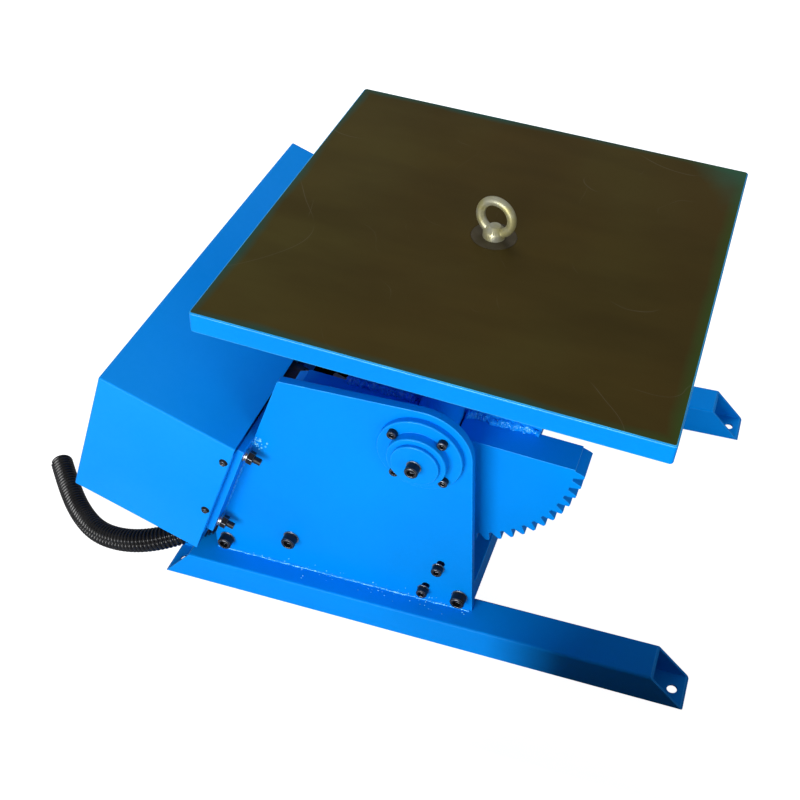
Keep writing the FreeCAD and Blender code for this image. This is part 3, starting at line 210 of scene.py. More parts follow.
# The fine unevenness of a surface: orange peel in paint, shot marks in castings, scale on steel
unevenness, uneven_in, uneven_out = new_group(
    "unevenness", [("Scale", "Float"), ("Height", "Float")], [("Normal", "Vector")])
bump = add_node(unevenness, "Bump")
connect(unevenness, (noise_in(unevenness, uneven_in.outputs["Scale"], 2.0), bump.inputs["Height"]),
        (uneven_in.outputs["Height"], bump.inputs["Distance"]),
        (bump.outputs["Normal"], uneven_out.inputs["Normal"]))


def make_finish(name, colour, other, patch_scale, gloss_range, uneven, metallic=0.0, specular=0.5,
                sheen=(1.0, 1.0, 1.0)):
    """A material whose colour and gloss drift, with fine unevenness; uneven is its scale and height.

    The patches have their own scale and the grain is 40 times finer. Sheen tints the reflections.
    """
    material = bpy.data.materials.new(name)
    material.use_nodes = True
    tree = material.node_tree
    shader = tree.nodes["Principled BSDF"]
    shader.inputs["Metallic"].default_value = metallic
    shader.inputs["Specular IOR Level"].default_value = specular
    shader.inputs["Specular Tint"].default_value = (*sheen, 1.0)
    colours = add_node(tree, "Group", node_tree=drift)
    settings = {"Colour": (*colour, 1.0), "Other colour": (*other, 1.0), "Patch scale": patch_scale,
                "Grain scale": patch_scale * 40, "Smooth": gloss_range[0], "Rough": gloss_range[1]}
    for socket, value in settings.items():
        colours.inputs[socket].default_value = value
    relief = add_node(tree, "Group", {"Scale": uneven[0], "Height": uneven[1]}, node_tree=unevenness)
    connect(tree, (colours.outputs["Colour"], shader.inputs["Base Color"]),
            (colours.outputs["Roughness"], shader.inputs["Roughness"]),
            (relief.outputs["Normal"], shader.inputs["Normal"]))
    return material


def paint_over(node, material):
    """Gives a CAD node that stays as it is its finish."""
    piece = frame["nodes"][node]
    for place in piece.material_slots:
        place.link = "OBJECT"
        place.material = material


nylon = make_finish("corrugated_nylon", (0.004, 0.004, 0.005), (0.009, 0.009, 0.010), 30, (0.16, 0.28),
                    (1500, 0.00002), specular=0.6)
line = bpy.data.curves.new("conduit_line", "CURVE")
line.dimensions = "3D"
line.resolution_u = 32
spline = line.splines.new("NURBS")
spline.points.add(len(conduit_route) - 1)
for control, place in zip(spline.points, conduit_route):
    control.co = (*place, 1.0)
spline.order_u = 3
spline.use_endpoint_u = True
route = bpy.data.objects.new("conduit_line", line)
bpy.context.scene.collection.objects.link(route)
bpy.context.view_layer.update()
centreline = [vertex.co.copy() for vertex in bpy.data.meshes.new_from_object(route).vertices]
route_length = sum((b - a).length for a, b in zip(centreline, centreline[1:]))
ridges = round(route_length / ridge_pitch)
pitch = route_length / ridges
crest = conduit_d / 2

bpy.ops.object.select_all(action="DESELECT")
bpy.ops.mesh.primitive_circle_add(vertices=tube_sides, radius=crest * valley, rotation=(0, math.pi / 2, 0))
conduit = bpy.context.active_object
conduit.name = "conduit_tube"
settle(conduit)
bpy.ops.object.mode_set(mode="EDIT")
bpy.ops.mesh.select_all(action="SELECT")
along, radius = 0.0, valley
for share, wider in ridge_profile:
    bpy.ops.mesh.extrude_region_move(TRANSFORM_OT_translate={"value": ((share - along) * pitch, 0, 0)})
    bpy.ops.transform.resize(value=(1, wider / radius, wider / radius), center_override=(share * pitch, 0, 0))
    along, radius = share, wider
bpy.ops.mesh.select_all(action="DESELECT")
bpy.ops.object.mode_set(mode="OBJECT")
for vertex in conduit.data.vertices:
    turn = math.degrees(math.atan2(vertex.co.z, vertex.co.y)) % 360
    vertex.select = abs(turn - slit_side) < slit_half
bpy.ops.object.mode_set(mode="EDIT")
bpy.ops.transform.resize(value=(1, slit_depth, slit_depth), center_override=(0, 0, 0))
bpy.ops.object.mode_set(mode="OBJECT")
apply_modifier(conduit, "ARRAY", count=ridges, use_relative_offset=False, use_constant_offset=True,
               constant_offset_displace=(pitch, 0, 0), use_merge_vertices=True, merge_threshold=pitch / 50)
apply_modifier(conduit, "CURVE", object=route, deform_axis="POS_X")

# The cut end: the wall's edge, the bore behind it and a closed bottom, and the same at the gland
end_point, end_way = centreline[-1], (centreline[-1] - centreline[-2]).normalized()
for point, way in ((end_point, end_way), (centreline[0], (centreline[0] - centreline[1]).normalized())):
    bpy.ops.object.mode_set(mode="EDIT")
    bpy.ops.mesh.select_mode(type="VERT")
    bpy.ops.mesh.select_all(action="DESELECT")
    bpy.ops.object.mode_set(mode="OBJECT")
    for vertex in conduit.data.vertices:
        from_end = vertex.co - point
        vertex.select = abs(from_end.dot(way)) < pitch * 0.1 and from_end.length < crest * 1.1
    bpy.ops.object.mode_set(mode="EDIT")
    bpy.ops.mesh.extrude_region_move(TRANSFORM_OT_translate={"value": (0, 0, 0)})
    bpy.ops.transform.resize(value=(lip_share,) * 3, center_override=point)
    bpy.ops.mesh.extrude_region_move(TRANSFORM_OT_translate={"value": tuple(-way * lip_depth)})
    bpy.ops.mesh.edge_face_add()
bpy.ops.mesh.select_all(action="SELECT")
bpy.ops.mesh.normals_make_consistent(inside=False)
bpy.ops.object.mode_set(mode="OBJECT")
bpy.ops.object.shade_smooth_by_angle(angle=math.radians(tube_crease))
conduit.data.materials.append(nylon)

# Wires: four leads with their cores bared, cut off just inside the conduit's end
wire_d, core_d, wire_inset, core_length = 0.0050, 0.0022, 0.002, 0.006
wire_length = lip_depth * 0.7
wire_spread = 0.45           # how far the wires stand from the middle, as a share of the bore
wire_colours = {"brown": (0.10, 0.03, 0.01), "blue": (0.01, 0.06, 0.30), "black": (0.01, 0.01, 0.01),
                "green": (0.05, 0.22, 0.03)}
copper = make_finish("bare_copper", (0.60, 0.28, 0.14), (0.45, 0.20, 0.10), 200, (0.25, 0.4), (3000, 0.00001),
                     metallic=1.0)
facing_out = end_way.to_track_quat("Z", "Y").to_euler()
for turn, (colour_name, colour) in enumerate(wire_colours.items()):
    sleeve = make_finish("wire_" + colour_name, colour, tuple(part * 0.8 for part in colour), 80, (0.35, 0.5),
                         (2000, 0.00001))
    bore = crest * lip_share * valley
    quarter = turn * math.pi / 2
    across = end_way.to_track_quat("Z", "Y") @ Vector((math.cos(quarter), math.sin(quarter), 0))
    middle_inset = wire_inset + core_length + wire_length / 2
    middle = end_point + across * (bore * wire_spread) - end_way * middle_inset
    bpy.ops.object.select_all(action="DESELECT")
    bpy.ops.mesh.primitive_cylinder_add(vertices=16, radius=wire_d / 2, depth=wire_length, location=middle,
                                        rotation=facing_out)
    wire = bpy.context.active_object
    wire.name = "wire_" + colour_name
    settle(wire)
    wire.data.materials.append(sleeve)
    wire.data.materials.append(copper)
    for face in wire.data.polygons:
        face.select = face.normal.dot(end_way) > 0.9
    bpy.ops.object.mode_set(mode="EDIT")
    bpy.ops.mesh.inset(thickness=(wire_d - core_d) / 2)
    wire.active_material_index = 1
    bpy.ops.mesh.extrude_region_move(TRANSFORM_OT_translate={"value": tuple(end_way * core_length)})
    bpy.ops.mesh.select_more()
    bpy.ops.object.mode_set(mode="OBJECT")
    tip = end_point - end_way * (wire_inset + core_length * 1.01)
    for face in wire.data.polygons:
        face.material_index = int((face.center - tip).dot(end_way) > 0)
    bpy.ops.object.shade_smooth_by_angle(angle=math.radians(40))
    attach(wire, "frame")

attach(conduit, "frame")
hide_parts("conduit")
bpy.data.objects.remove(route)
moulded = make_finish("moulded_nylon", (0.013, 0.013, 0.014), (0.022, 0.022, 0.023), 40, (0.35, 0.5),
                      (1200, 0.00003))
paint_over("conduit_gland", moulded)


# Skids: two rectangular steel tubes, mitred at both ends so that their floors reach out to the
# anchor holes. Sprayed with blue enamel inside and out as far as the gun reaches.
merge_distance = 0.00001
flat_enough = 0.3            # faces closer to level with each other than this are one face, degrees
tube_edge = 0.0007
pale_cyan = (0.55, 0.95, 1.0)
enamel = make_finish("blue_enamel", (0.0, 0.262, 0.86), (0.0, 0.236, 0.80), 4, (0.34, 0.46), (650, 0.00003),
                     specular=0.10, sheen=pale_cyan)
# Edges get a lighter, glossier blue; the lighter colour is a painted highlight along them
enamel_edge_highlight = make_finish("lighter_blue_enamel_painted_edge_highlight", (0.01, 0.33, 0.97), (0.0, 0.27, 0.88), 60, (0.20, 0.32),
                          (650, 0.00003), specular=0.42, sheen=pale_cyan)


def eased(node, edge, finish, edge_finish=None, smooth=32):
    """A merged copy of a CAD node, its edges sharper than smooth eased, which stands for the node."""
    source = frame["nodes"][node]
    piece = bpy.data.objects.new(node + "_body", source.data.copy())
    bpy.context.scene.collection.objects.link(piece)
    piece.data.materials.clear()
    piece.data.materials.append(finish)
    piece.data.materials.append(edge_finish or finish)
    select_only(piece)
    bpy.ops.mesh.customdata_custom_splitnormals_clear()
    bpy.ops.object.mode_set(mode="EDIT")
    bpy.ops.mesh.select_all(action="SELECT")
    bpy.ops.mesh.remove_doubles(threshold=merge_distance)
    bpy.ops.mesh.dissolve_limited(angle_limit=math.radians(flat_enough))
    bpy.ops.object.mode_set(mode="OBJECT")
    if edge:
        apply_modifier(piece, "BEVEL", width=edge, segments=2, limit_method="ANGLE",
                       angle_limit=math.radians(smooth + 5), use_clamp_overlap=False, material=1)
    bpy.ops.object.shade_smooth_by_angle(angle=math.radians(max(smooth, 50) if edge else smooth))
    apply_modifier(piece, "WEIGHTED_NORMAL", keep_sharp=True)
    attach(piece, source["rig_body"])
    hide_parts(node)
    return piece


for side in ("near", "far"):
    eased("skid_" + side, tube_edge, enamel, enamel_edge_highlight)


# Side plates: 12 mm plate, flame cut, with a round nose about the tilt pivot. Each stands on its
# skid and is welded to it along both faces; the welds are painted over, spatter and all, and the
# spatter's pale colour is a painted glint.
plate_edge = 0.0012
foot_weld, weld_end = 0.0050, 0.002      # the weld's leg, and how far it stops before the plate's end
ripple_pitch, skin_size = 0.0034, 0.0009
# Spatter: how many drops, their radius, how far they scatter from the weld and stay off the
# plate's ends, what share lies on the skid, and how far out on it
foot_drops, foot_drop_radius, foot_scatter, drops_in = 56, (0.0004, 0.0012), 0.006, 0.03
drops_on_skid, skid_reach = 0.4, 0.026
weld_noise = bpy.data.textures.new("weld_noise", "CLOUDS")
weld_noise.noise_scale = 0.007
weld_paint = make_finish("blue_enamel_on_welds", (0.0, 0.27, 0.86), (0.01, 0.31, 0.92), 120, (0.07, 0.14),
                         (900, 0.00004), specular=1.0, sheen=pale_cyan)
# The drops are a pale cyan blue, a painted glint standing for the bright specks of their reflections
spatter_glint_paint = make_finish("pale_blue_spatter_painted_glint", (0.22, 0.72, 0.95), (0.04, 0.42, 0.92), 150,
                            (0.08, 0.16), (900, 0.00004), specular=1.0, sheen=pale_cyan)


def weld_bead(name, body, start, end, leg):
    """Overlapping ripples laid along a seam, fused into one uneven skin."""
    run = Vector(end) - Vector(start)
    bpy.ops.object.select_all(action="DESELECT")
    bpy.ops.mesh.primitive_uv_sphere_add(segments=10, ring_count=6, radius=1)
    bead = bpy.context.active_object
    bead.name = name
    bead.scale = (ripple_pitch * 0.85, leg / 2, leg / 2)
    bpy.ops.object.transform_apply(location=False, rotation=False, scale=True)
    bead.matrix_world = Matrix.Translation(start) @ run.to_track_quat("X", "Z").to_matrix().to_4x4()
    apply_modifier(bead, "ARRAY", count=max(2, round(run.length / ripple_pitch)), use_relative_offset=False,
                   use_constant_offset=True, constant_offset_displace=(ripple_pitch, 0, 0))
    apply_modifier(bead, "DISPLACE", texture=weld_noise, texture_coords="GLOBAL", strength=leg * 0.55,
                   mid_level=0.5)
    apply_modifier(bead, "REMESH", mode="VOXEL", voxel_size=skin_size)
    settle(bead)
    bpy.ops.object.shade_smooth()
    bead.data.materials.append(weld_paint)
    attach(bead, body)


def spatter(name, body, places):
    """Drops of weld metal that stuck to a plate, each a low blob at its place, with its radius."""
    drops = []
    for place, radius in places:
        bpy.ops.object.select_all(action="DESELECT")
        bpy.ops.mesh.primitive_ico_sphere_add(subdivisions=2, radius=radius, location=place)
        drops.append(bpy.context.active_object)
    for drop in drops:
        drop.select_set(True)
    bpy.ops.object.join()
    cluster = bpy.context.active_object
    cluster.name = name
    settle(cluster)
    bpy.ops.object.shade_smooth()
    cluster.data.materials.append(spatter_glint_paint)
    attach(cluster, body)


for side in ("near", "far"):
    eased("side_plate_" + side, plate_edge, enamel, enamel_edge_highlight)
    low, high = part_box("side_plate_" + side)
    faces = sorted((low.y, high.y), key=abs)
    for where, y in zip(("inner", "outer"), faces):
        weld_bead("foot_weld_%s_%s" % (side, where), "frame", (low.x + weld_end, y, low.z),
                  (high.x - weld_end, y, low.z), foot_weld)
    outward = math.copysign(1, faces[1])
    dice = random.Random(side)
    drops = []
    for index in range(foot_drops):
        size = dice.uniform(*foot_drop_radius)
        lift = abs(dice.gauss(0, foot_scatter)) + foot_weld / 2
        onto_skid = dice.random() < drops_on_skid
        x = dice.triangular(low.x + drops_in, high.x - weld_end, high.x - drops_in)
        if onto_skid:
            drops.append(((x, faces[1] + outward * min(lift, skid_reach), low.z), size))
        else:
            drops.append(((x, faces[1], low.z + lift), size))
    spatter("foot_spatter_" + side, "frame", drops)


# Cross members and lugs: a square bar at the front, a round tie bar near the middle and two
# flame-cut lugs at the back. Black socket screws through the side plates hold them. A small plate
# inside the near side plate holds the conduit's gland.
lug_edge, worn_highlight_edge = 0.0006, 0.0004
frame_washer_t, seat_slack = 0.002, 0.0001
black = make_finish("black_oxide", (0.012, 0.012, 0.014), (0.020, 0.020, 0.023), 90, (0.30, 0.44),
                    (2500, 0.00001), metallic=0.55)
# Screw edges: worn oxide, and a painted highlight at the rims
black_worn_and_highlit = make_finish("black_oxide_worn_and_highlit_on_edges", (0.30, 0.33, 0.38), (0.08, 0.09, 0.11), 160, (0.22, 0.34),
                         (2500, 0.00001), metallic=0.9)
bright_zinc = make_finish("bright_zinc", (0.52, 0.54, 0.56), (0.36, 0.38, 0.40), 120, (0.22, 0.36),
                          (2500, 0.00001), metallic=1.0)


def screws(node, is_washer):
    """Screws in black oxide, worn on the edges and lighter there as a painted highlight, whose faces that
    is_washer picks are bright zinc.
    """
    piece = eased(node, worn_highlight_edge, black, black_worn_and_highlit, smooth=30)
    piece.data.materials.append(bright_zinc)
    for face in piece.data.polygons:
        if is_washer(face.center):
            face.material_index = 2


def washers_on(seat, washer_t):
    """A test for places in the washers that lie on the two outer faces this far from the middle."""
    return lambda place: seat < abs(place.y) < seat + washer_t + seat_slack


eased("front_cross_bar", plate_edge, enamel, enamel_edge_highlight)
eased("middle_tie_bar", plate_edge, enamel, enamel_edge_highlight)
for side in ("near", "far"):
    eased("rear_lug_" + side, lug_edge, enamel, enamel_edge_highlight)
paint_over("gland_plate", enamel)
plate_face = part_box("side_plate_far")[1].y
screws("frame_screws", washers_on(plate_face, frame_washer_t))


# Tilt bearings: a turned flange with a collar, screwed outside each side plate, that holds a
# bronze bush. Flange and collar are painted with the plate, the four screws are not.
turned_edge = 0.0004
bronze = make_finish("turned_bronze", (0.55, 0.34, 0.13), (0.42, 0.25, 0.09), 60, (0.25, 0.38),
                     (2000, 0.00001), metallic=1.0)
for side in ("near", "far"):
    eased("bearing_flange_" + side, turned_edge, enamel, enamel_edge_highlight)
    paint_over("trunnion_bush_" + side, bronze)
eased("flange_screws", worn_highlight_edge, black, black_worn_and_highlit, smooth=30)


# Tilt drive: a plate across the frame, held in slots in the side plates, carries a cast worm
# gearbox and a finned motor, which reaches back through the rear plate into the cover.
bracket_washer_t = 0.0016
casting = make_finish("cast_aluminium", (0.44, 0.45, 0.46), (0.36, 0.37, 0.38), 25, (0.42, 0.58),
                      (700, 0.00008), metallic=0.85)
motor_enamel = make_finish("grey_motor_enamel", (0.13, 0.14, 0.15), (0.10, 0.11, 0.12), 12, (0.36, 0.5),
                           (500, 0.00006))
fan_enamel = make_finish("dark_fan_cover_enamel", (0.050, 0.037, 0.029), (0.034, 0.026, 0.021), 15,
                         (0.34, 0.48), (900, 0.00003))
eased("drive_bracket", plate_edge, enamel, enamel_edge_highlight)
screws("bracket_screws", washers_on(plate_face, bracket_washer_t))
for drive in ("tilt", "spin"):
    eased(drive + "_gearbox", 0.0, casting)
    eased(drive + "_motor", 0.0, motor_enamel)
    eased(drive + "_motor_fan_cover", 0.0, fan_enamel)
    eased(drive + "_gearbox_screws", 0.0, black, smooth=30)


# Tilt pinion: hobbed from bar and keyed on the gearbox's output shaft. It meshes with the sector
# gear from below, and its teeth are left bare and run in grease.
tilt_tooth_edge = 0.0004
hobbed = make_finish("hobbed_steel", (0.30, 0.29, 0.28), (0.20, 0.19, 0.17), 80, (0.28, 0.42),
                     (1500, 0.00002), metallic=1.0)
ground = make_finish("ground_steel", (0.48, 0.48, 0.48), (0.40, 0.40, 0.40), 50, (0.16, 0.28),
                     (2500, 0.00001), metallic=1.0)
eased("tilt_pinion", tilt_tooth_edge, hobbed)
eased("tilt_pinion_shaft", 0.0, ground)


# Rear plate: a wide plate welded across the slanted back edges, cut out for the motor. A folded
# sheet cover closes the drive in, screwed to two angles behind the plate.
slant = math.radians(22.8)
up_slant = Vector((math.sin(slant), 0, math.cos(slant)))
off_slant = Vector((math.cos(slant), 0, -math.sin(slant)))
slant_foot_height = 0.084
slant_foot = Vector((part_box("side_plate_far")[0].x, 0, slant_foot_height))
rear_plate_edge, angle_edge = 0.0008, 0.0004
rear_weld, rear_weld_low, rear_weld_high = 0.0058, 0.052, 0.240
# Spatter at the weld's upper end: how many drops, their radius, and how far they scatter up the
# slant and off it
corner_drops, corner_drop_radius, corner_rise, corner_away = 26, (0.0006, 0.0018), 0.006, 0.008
rear_washers_t = 0.0045


def off_the_slant(place):
    """How far a place lies off the slanted back edge."""
    return (Vector(place) - slant_foot).dot(off_slant)


sheet_paint = make_finish("blue_enamel_on_sheet", (0.004, 0.285, 0.90), (0.0, 0.262, 0.86), 3, (0.34, 0.46),
                          (500, 0.00003), specular=0.12, sheen=pale_cyan)
eased("rear_mount_plate", rear_plate_edge, enamel, enamel_edge_highlight)
eased("rear_cover", 0.0, sheet_paint, smooth=40)
for side, y in (("near", -plate_face), ("far", plate_face)):
    eased("cover_angle_" + side, angle_edge, enamel, enamel_edge_highlight)
    low_end = slant_foot + up_slant * rear_weld_low + Vector((0, y, 0))
    high_end = slant_foot + up_slant * rear_weld_high + Vector((0, y, 0))
    weld_bead("rear_weld_" + side, "frame", low_end, high_end, rear_weld)
    dice = random.Random("corner " + side)
    drops = []
    for index in range(corner_drops):
        rise = dice.gauss(0, corner_rise)
        away = abs(dice.gauss(0, corner_away)) + 0.001
        drops.append((high_end + up_slant * rise + off_slant * away, dice.uniform(*corner_drop_radius)))
    spatter("corner_spatter_" + side, "frame", drops)
eased("cover_screws", worn_highlight_edge, black, black_worn_and_highlit, smooth=30)
screws("rear_bolts", lambda place: -seat_slack < off_the_slant(place) < rear_washers_t + seat_slack)


# Cradle: two arms under one deck plate, welded up with the sector gear and the trunnions. The
# sector is a half disc with teeth round its rim; a heavy bead joins its flat top to the arm.
tilt_joint = next(joint for joint in frame["joints"] if joint["name"] == "table_tilt")
spin_joint = next(joint for joint in frame["joints"] if joint["name"] == "table_spin")
pivot = Vector(tilt_joint["pos_m"])
table_up = Vector(spin_joint["axis"]).normalized()
table_along = Vector((0, 1, 0)).cross(table_up)
rest_tilt = math.atan2(table_up.x, table_up.z)
sector_edge, disc_edge = 0.0007, 0.0004
sector_weld, deck_weld, deck_weld_end = 0.0165, 0.0065, 0.008
arm_half, notch_half = 0.134, 0.036      # half the arm's width, and half the sector's cut about the trunnion
deck_under = 0.052           # the deck's underside above the pivot
boss_radius = 0.029          # the trunnion's shoulder, which the gun also reached
end_washer_t = 0.002


def in_cradle(along, across, up):
    """A point by its place along the table, across it and above the pivot."""
    return pivot + table_along * along + Vector((0, across, 0)) + table_up * up


eased("sector_gear", sector_edge, enamel, enamel_edge_highlight)
for side in ("near", "far"):
    eased("cradle_arm_" + side, plate_edge, enamel, enamel_edge_highlight)
    trunnion = eased("trunnion_" + side, 0.0, ground, enamel)
    for face in trunnion.data.polygons:
        away = face.center - pivot
        face.material_index = int(math.hypot(away.x, away.z) > boss_radius)
    eased("end_disc_" + side, disc_edge, enamel, enamel_edge_highlight)
eased("cradle_deck", plate_edge, enamel, enamel_edge_highlight)
arm_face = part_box("cradle_arm_near")[0].y
for name, start, end in (("back", -arm_half, -notch_half), ("front", notch_half, arm_half)):
    weld_bead("sector_weld_" + name, "cradle", in_cradle(start, arm_face, 0), in_cradle(end, arm_face, 0),
              sector_weld)
for side, y in (("near", arm_face), ("far", -arm_face)):
    weld_bead("deck_weld_" + side, "cradle", in_cradle(-arm_half + deck_weld_end, y, deck_under),
              in_cradle(arm_half - deck_weld_end, y, deck_under), deck_weld)
screws("end_disc_screws", washers_on(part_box("end_disc_far")[1].y, end_washer_t))


# Spindle: a flanged shaft that runs in two bearings in a turned housing on the deck, held by a
# slotted nut below. Its top end shows flush in the middle of the table. A greased ring gear on the
# table and a pinion on the worm gearbox turn it; both are dark for their grease and darkened
# further as painted shade under the table.
housing_edge, spin_tooth_edge = 0.0006, 0.0003
hub_steel = make_finish("oiled_hub_steel", (0.056, 0.046, 0.026), (0.074, 0.062, 0.040), 70, (0.34, 0.46),
                        (1800, 0.00002), metallic=0.1, specular=0.2)
eased("spindle_housing", housing_edge, enamel, enamel_edge_highlight)
for node in ("spindle_bearing_upper", "spindle_bearing_lower"):
    paint_over(node, ground)
eased("spindle", 0.0, hub_steel)
for node in ("housing_screws", "spindle_screws", "spindle_lock_nut", "ring_gear_screws"):
    eased(node, 0.0, black, smooth=30)
# Dark for grease, and darker still as painted shade under the table
greased_and_shaded_steel = make_finish("greased_gear_steel_darkened_as_painted_shade", (0.040, 0.037, 0.032), (0.022, 0.020, 0.018), 60, (0.24, 0.38),
                      (1500, 0.00002), metallic=0.6)
for node in ("ring_gear", "spin_pinion"):
    eased(node, spin_tooth_edge, greased_and_shaded_steel)
eased("spin_pinion_shaft", 0.0, ground)


# Table: a 600 mm square of thick plate, machined on top. The top is bare, dark with oil; blue
# paint covers the edges and has crept over the rim, greenest at the right-hand side.
table_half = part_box("table_plate")[1].y
table_top = 0.152            # the table's top above the pivot
table_highlight_edge = 0.0006
hub_reach, bevel_depth = 0.040, 0.004    # the bevels this near the middle and the top are bare too
rim_from, rim_to, rim_share = -0.003, 0.014, 0.85        # how far in from the edge the paint has crept
corner_from, corner_to, corner_share = 0.01, 0.12, 0.7
scratch_from, scratch_to, scratch_share = 0.0004, 0.0014, 0.30
scratch_scales = [(2.6, 7.0), (4.1, 9.0), (7.3, 12.0)]
oily_brown, oily_olive, oily_dark = (0.058, 0.038, 0.0085), (0.064, 0.052, 0.013), (0.038, 0.026, 0.006)
rim_teal, rim_green, corner_teal = (0.003, 0.080, 0.072), (0.036, 0.075, 0.014), (0.026, 0.115, 0.075)
bright_scratch = (0.16, 0.14, 0.10)
top_steel = bpy.data.materials.new("oiled_table_steel")
top_steel.use_nodes = True
tree = top_steel.node_tree
shader = tree.nodes["Principled BSDF"]
shader.inputs["Metallic"].default_value = 0.0
shader.inputs["Specular IOR Level"].default_value = 0.12
shader.inputs["Specular Tint"].default_value = (1.0, 0.90, 0.45, 1.0)


def math_node(operation, first, second=None):
    """The result of a sum on sockets or numbers."""
    made = add_node(tree, "Math", operation=operation)
    for socket, value in zip(made.inputs, (first, second)):
        if isinstance(value, (int, float)):
            socket.default_value = value
        elif value is not None:
            connect(tree, (value, socket))
    return made.outputs[0]


mapping = add_node(tree, "Mapping", {"Location": pivot + table_up * table_top, "Rotation": (0, rest_tilt, 0)},
                   vector_type="TEXTURE")
separate = add_node(tree, "SeparateXYZ")
connect(tree, (add_node(tree, "TexCoord").outputs["Object"], mapping.inputs["Vector"]),
        (mapping.outputs["Vector"], separate.inputs["Vector"]))
across_x, across_y = separate.outputs["X"], separate.outputs["Y"]
inset = math_node("SUBTRACT", table_half, math_node("MAXIMUM", math_node("ABSOLUTE", across_x),
                                                    math_node("ABSOLUTE", across_y)))
wander = spread(tree, noise_in(tree, 9, 3.0), 0.3, 0.7, -0.004, 0.004)
rightness = spread(tree, across_x, 0.4 * table_half, table_half)
band = math_node("ADD", math_node("ADD", inset, wander), math_node("MULTIPLY", rightness, -0.004))
rim = spread(tree, band, rim_from, rim_to, 1.0, 0.0)
corner_near = math_node("ADD", math_node("SUBTRACT", table_half, across_x),
                        math_node("SUBTRACT", table_half, across_y))
corner_edge = math_node("ADD", corner_near, math_node("MULTIPLY", wander, 8.0))
corner = spread(tree, corner_edge, corner_from, corner_to, 1.0, 0.0)
clouds = spread(tree, noise_in(tree, 3.2, 5.0, stretch=(1.0, 0.55, 1.0)), 0.36, 0.66)
smears = spread(tree, noise_in(tree, 11, 4.0, stretch=(0.35, 1.0, 1.0)), 0.40, 0.72)
oil = blend_colours(tree, clouds, oily_brown, oily_olive)
oil = blend_colours(tree, math_node("MULTIPLY", smears, 0.65), oil, oily_dark)
crept_paint = blend_colours(tree, rightness, rim_teal, rim_green)
oil = blend_colours(tree, math_node("MULTIPLY", rim, rim_share), oil, crept_paint)
oil = blend_colours(tree, math_node("MULTIPLY", corner, corner_share), oil, corner_teal)
# Scratches: thin lines where a slow noise crosses its middle value, broken up by a second one
scratches = 0.0
for scale, gate_scale in scratch_scales:
    crossing = math_node("ABSOLUTE", math_node("SUBTRACT", noise_in(tree, scale, 1.0), 0.52))
    thin = spread(tree, crossing, scratch_from, scratch_to, 1.0, 0.0)
    gate = spread(tree, noise_in(tree, gate_scale, 2.0), 0.56, 0.66)
    scratches = math_node("MAXIMUM", scratches, math_node("MULTIPLY", thin, gate))
oil = blend_colours(tree, math_node("MULTIPLY", scratches, scratch_share), oil, bright_scratch)
sheen = spread(tree, noise_in(tree, 5.0, 4.0), 0.3, 0.7, 0.36, 0.52)
relief = add_node(tree, "Group", {"Scale": 900.0, "Height": 0.00002}, node_tree=unevenness)
connect(tree, (oil, shader.inputs["Base Color"]), (sheen, shader.inputs["Roughness"]),
        (relief.outputs["Normal"], shader.inputs["Normal"]))

# The table's edges are a paler, cyan blue: a painted highlight along them
table_edge_highlight_enamel = make_finish("pale_enamel_painted_highlight_on_table_edges", (0.07, 0.50, 0.86), (0.02, 0.30, 0.66), 14,
                            (0.18, 0.3), (650, 0.00003), sheen=pale_cyan)
table = eased("table_plate", table_highlight_edge, enamel, table_edge_highlight_enamel)
table.data.materials.append(top_steel)
for face in table.data.polygons:
    away = face.center - pivot
    height = away.dot(table_up)
    from_middle = (away - table_up * height).length
    on_top = face.normal.dot(table_up) > 0.99 and height > table_top - 0.0002
    if on_top or from_middle < hub_reach and height > table_top - bevel_depth:
        face.material_index = 2


# Eye bolt: forged with a round ring on a collar, and plated in yellow zinc that has gone dull
# and brown in places. It screws into the spindle's end to lift the machine by.
forged_edge = 0.0003
yellow_zinc = make_finish("yellow_zinc", (0.64, 0.64, 0.52), (0.50, 0.46, 0.20), 45, (0.36, 0.52),
                          (900, 0.00004), metallic=0.7)
eased("eye_bolt", forged_edge, yellow_zinc, smooth=40)


# Floor and lights: a plain pale floor that runs out of the picture, white but for a soft round
# painted shade under the cover, where its colour and glow are darkened so that the gap under the
# table shows black. A large soft lamp stands low before the near side, which is thus brighter
# than the tops, and a black card keeps its light off the near skid's right-hand end.
floor_half, floor_level, floor_glow, floor_grey = 12.0, -0.0005, 0.96, 0.45
painted_shade_middle, painted_shade_inner, painted_shade_outer = (-0.35, 0.19), 0.05, 0.23
card_at, card_size = (0.555, -0.45, 0.11), (0.85, 0.22)
room_light, room_seen = 0.24, 1.0
aim = Vector((-0.05, 0.0, 0.25))
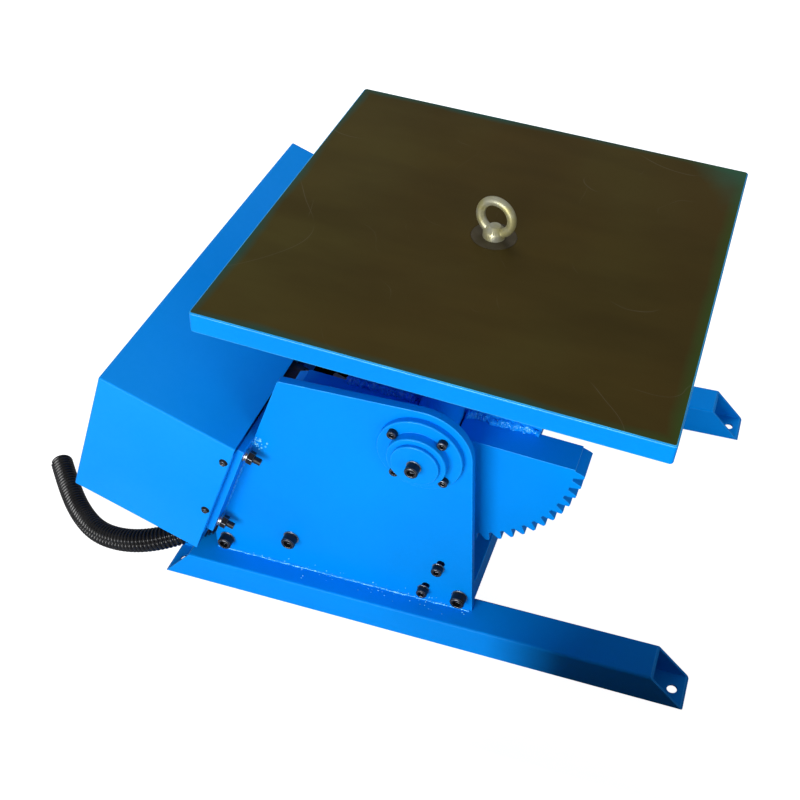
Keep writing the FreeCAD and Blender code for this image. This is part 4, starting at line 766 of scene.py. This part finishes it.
# Each lamp: its place, size and power, and whether glossy surfaces mirror it
lamps = {"front_lamp": ((-0.45, -2.6, 0.95), 1.6, 63, True), "right_lamp": ((1.9, -1.5, 0.7), 1.2, 14, False),
         "back_lamp": ((-0.8, 1.5, 2.3), 1.8, 34, False)}
bpy.ops.object.select_all(action="DESELECT")
bpy.ops.mesh.primitive_plane_add(size=2 * floor_half, location=(0, 0, floor_level))
floor = bpy.context.active_object
floor.name = "floor"
floor_paint = bpy.data.materials.new("pale_floor")
floor_paint.use_nodes = True
tree = floor_paint.node_tree
shader = tree.nodes["Principled BSDF"]
shader.inputs["Roughness"].default_value = 0.9
shader.inputs["Specular IOR Level"].default_value = 0.0
shader.inputs["Emission Color"].default_value = (1.0, 1.0, 1.0, 1.0)
# The floor's colour and glow fall to nothing in a round patch under the cover: painted shade
from_painted_shade = add_node(tree, "VectorMath", {1: (*painted_shade_middle, 0.0)}, operation="DISTANCE")
outside_painted_shade = add_node(tree, "MapRange", {"From Min": painted_shade_inner, "From Max": painted_shade_outer},
               interpolation_type="SMOOTHSTEP")
seen = add_node(tree, "LightPath")
glow = math_node("MULTIPLY", outside_painted_shade.outputs["Result"], floor_glow)
connect(tree, (add_node(tree, "TexCoord").outputs["Object"], from_painted_shade.inputs[0]),
        (from_painted_shade.outputs["Value"], outside_painted_shade.inputs["Value"]),
        (math_node("MULTIPLY", outside_painted_shade.outputs["Result"], floor_grey), shader.inputs["Base Color"]),
        (math_node("MULTIPLY", glow, seen.outputs["Is Camera Ray"]), shader.inputs["Emission Strength"]))
floor.data.materials.append(floor_paint)

card_black = bpy.data.materials.new("black_card")
card_black.use_nodes = True
shader = card_black.node_tree.nodes["Principled BSDF"]
shader.inputs["Base Color"].default_value = (0.005, 0.005, 0.005, 1.0)
shader.inputs["Roughness"].default_value = 1.0
shader.inputs["Specular IOR Level"].default_value = 0.0
bpy.ops.mesh.primitive_plane_add(size=1, location=card_at, rotation=(math.pi / 2, 0, 0))
card = bpy.context.active_object
card.name = "light_card"
card.scale = (*card_size, 1)
settle(card)
card.data.materials.append(card_black)
card.visible_camera = False

world = bpy.data.worlds.new("pale_room")
bpy.context.scene.world = world
world.use_nodes = True
tree = world.node_tree
backdrop = tree.nodes["Background"]
backdrop.inputs["Color"].default_value = (1.0, 1.0, 1.0, 1.0)
seen = add_node(tree, "LightPath")
strength = add_node(tree, "MapRange", {"To Min": room_light, "To Max": room_seen})
connect(tree, (seen.outputs["Is Camera Ray"], strength.inputs["Value"]),
        (strength.outputs["Result"], backdrop.inputs["Strength"]))

for name, (place, size, power, mirrored) in lamps.items():
    lamp = bpy.data.objects.new(name, bpy.data.lights.new(name, "AREA"))
    bpy.context.scene.collection.objects.link(lamp)
    lamp.location = place
    lamp.rotation_euler = (aim - Vector(place)).to_track_quat("-Z", "Y").to_euler()
    lamp.data.size = size
    lamp.data.energy = power
    lamp.visible_glossy = mirrored

bpy.context.scene.view_settings.view_transform = "Standard"
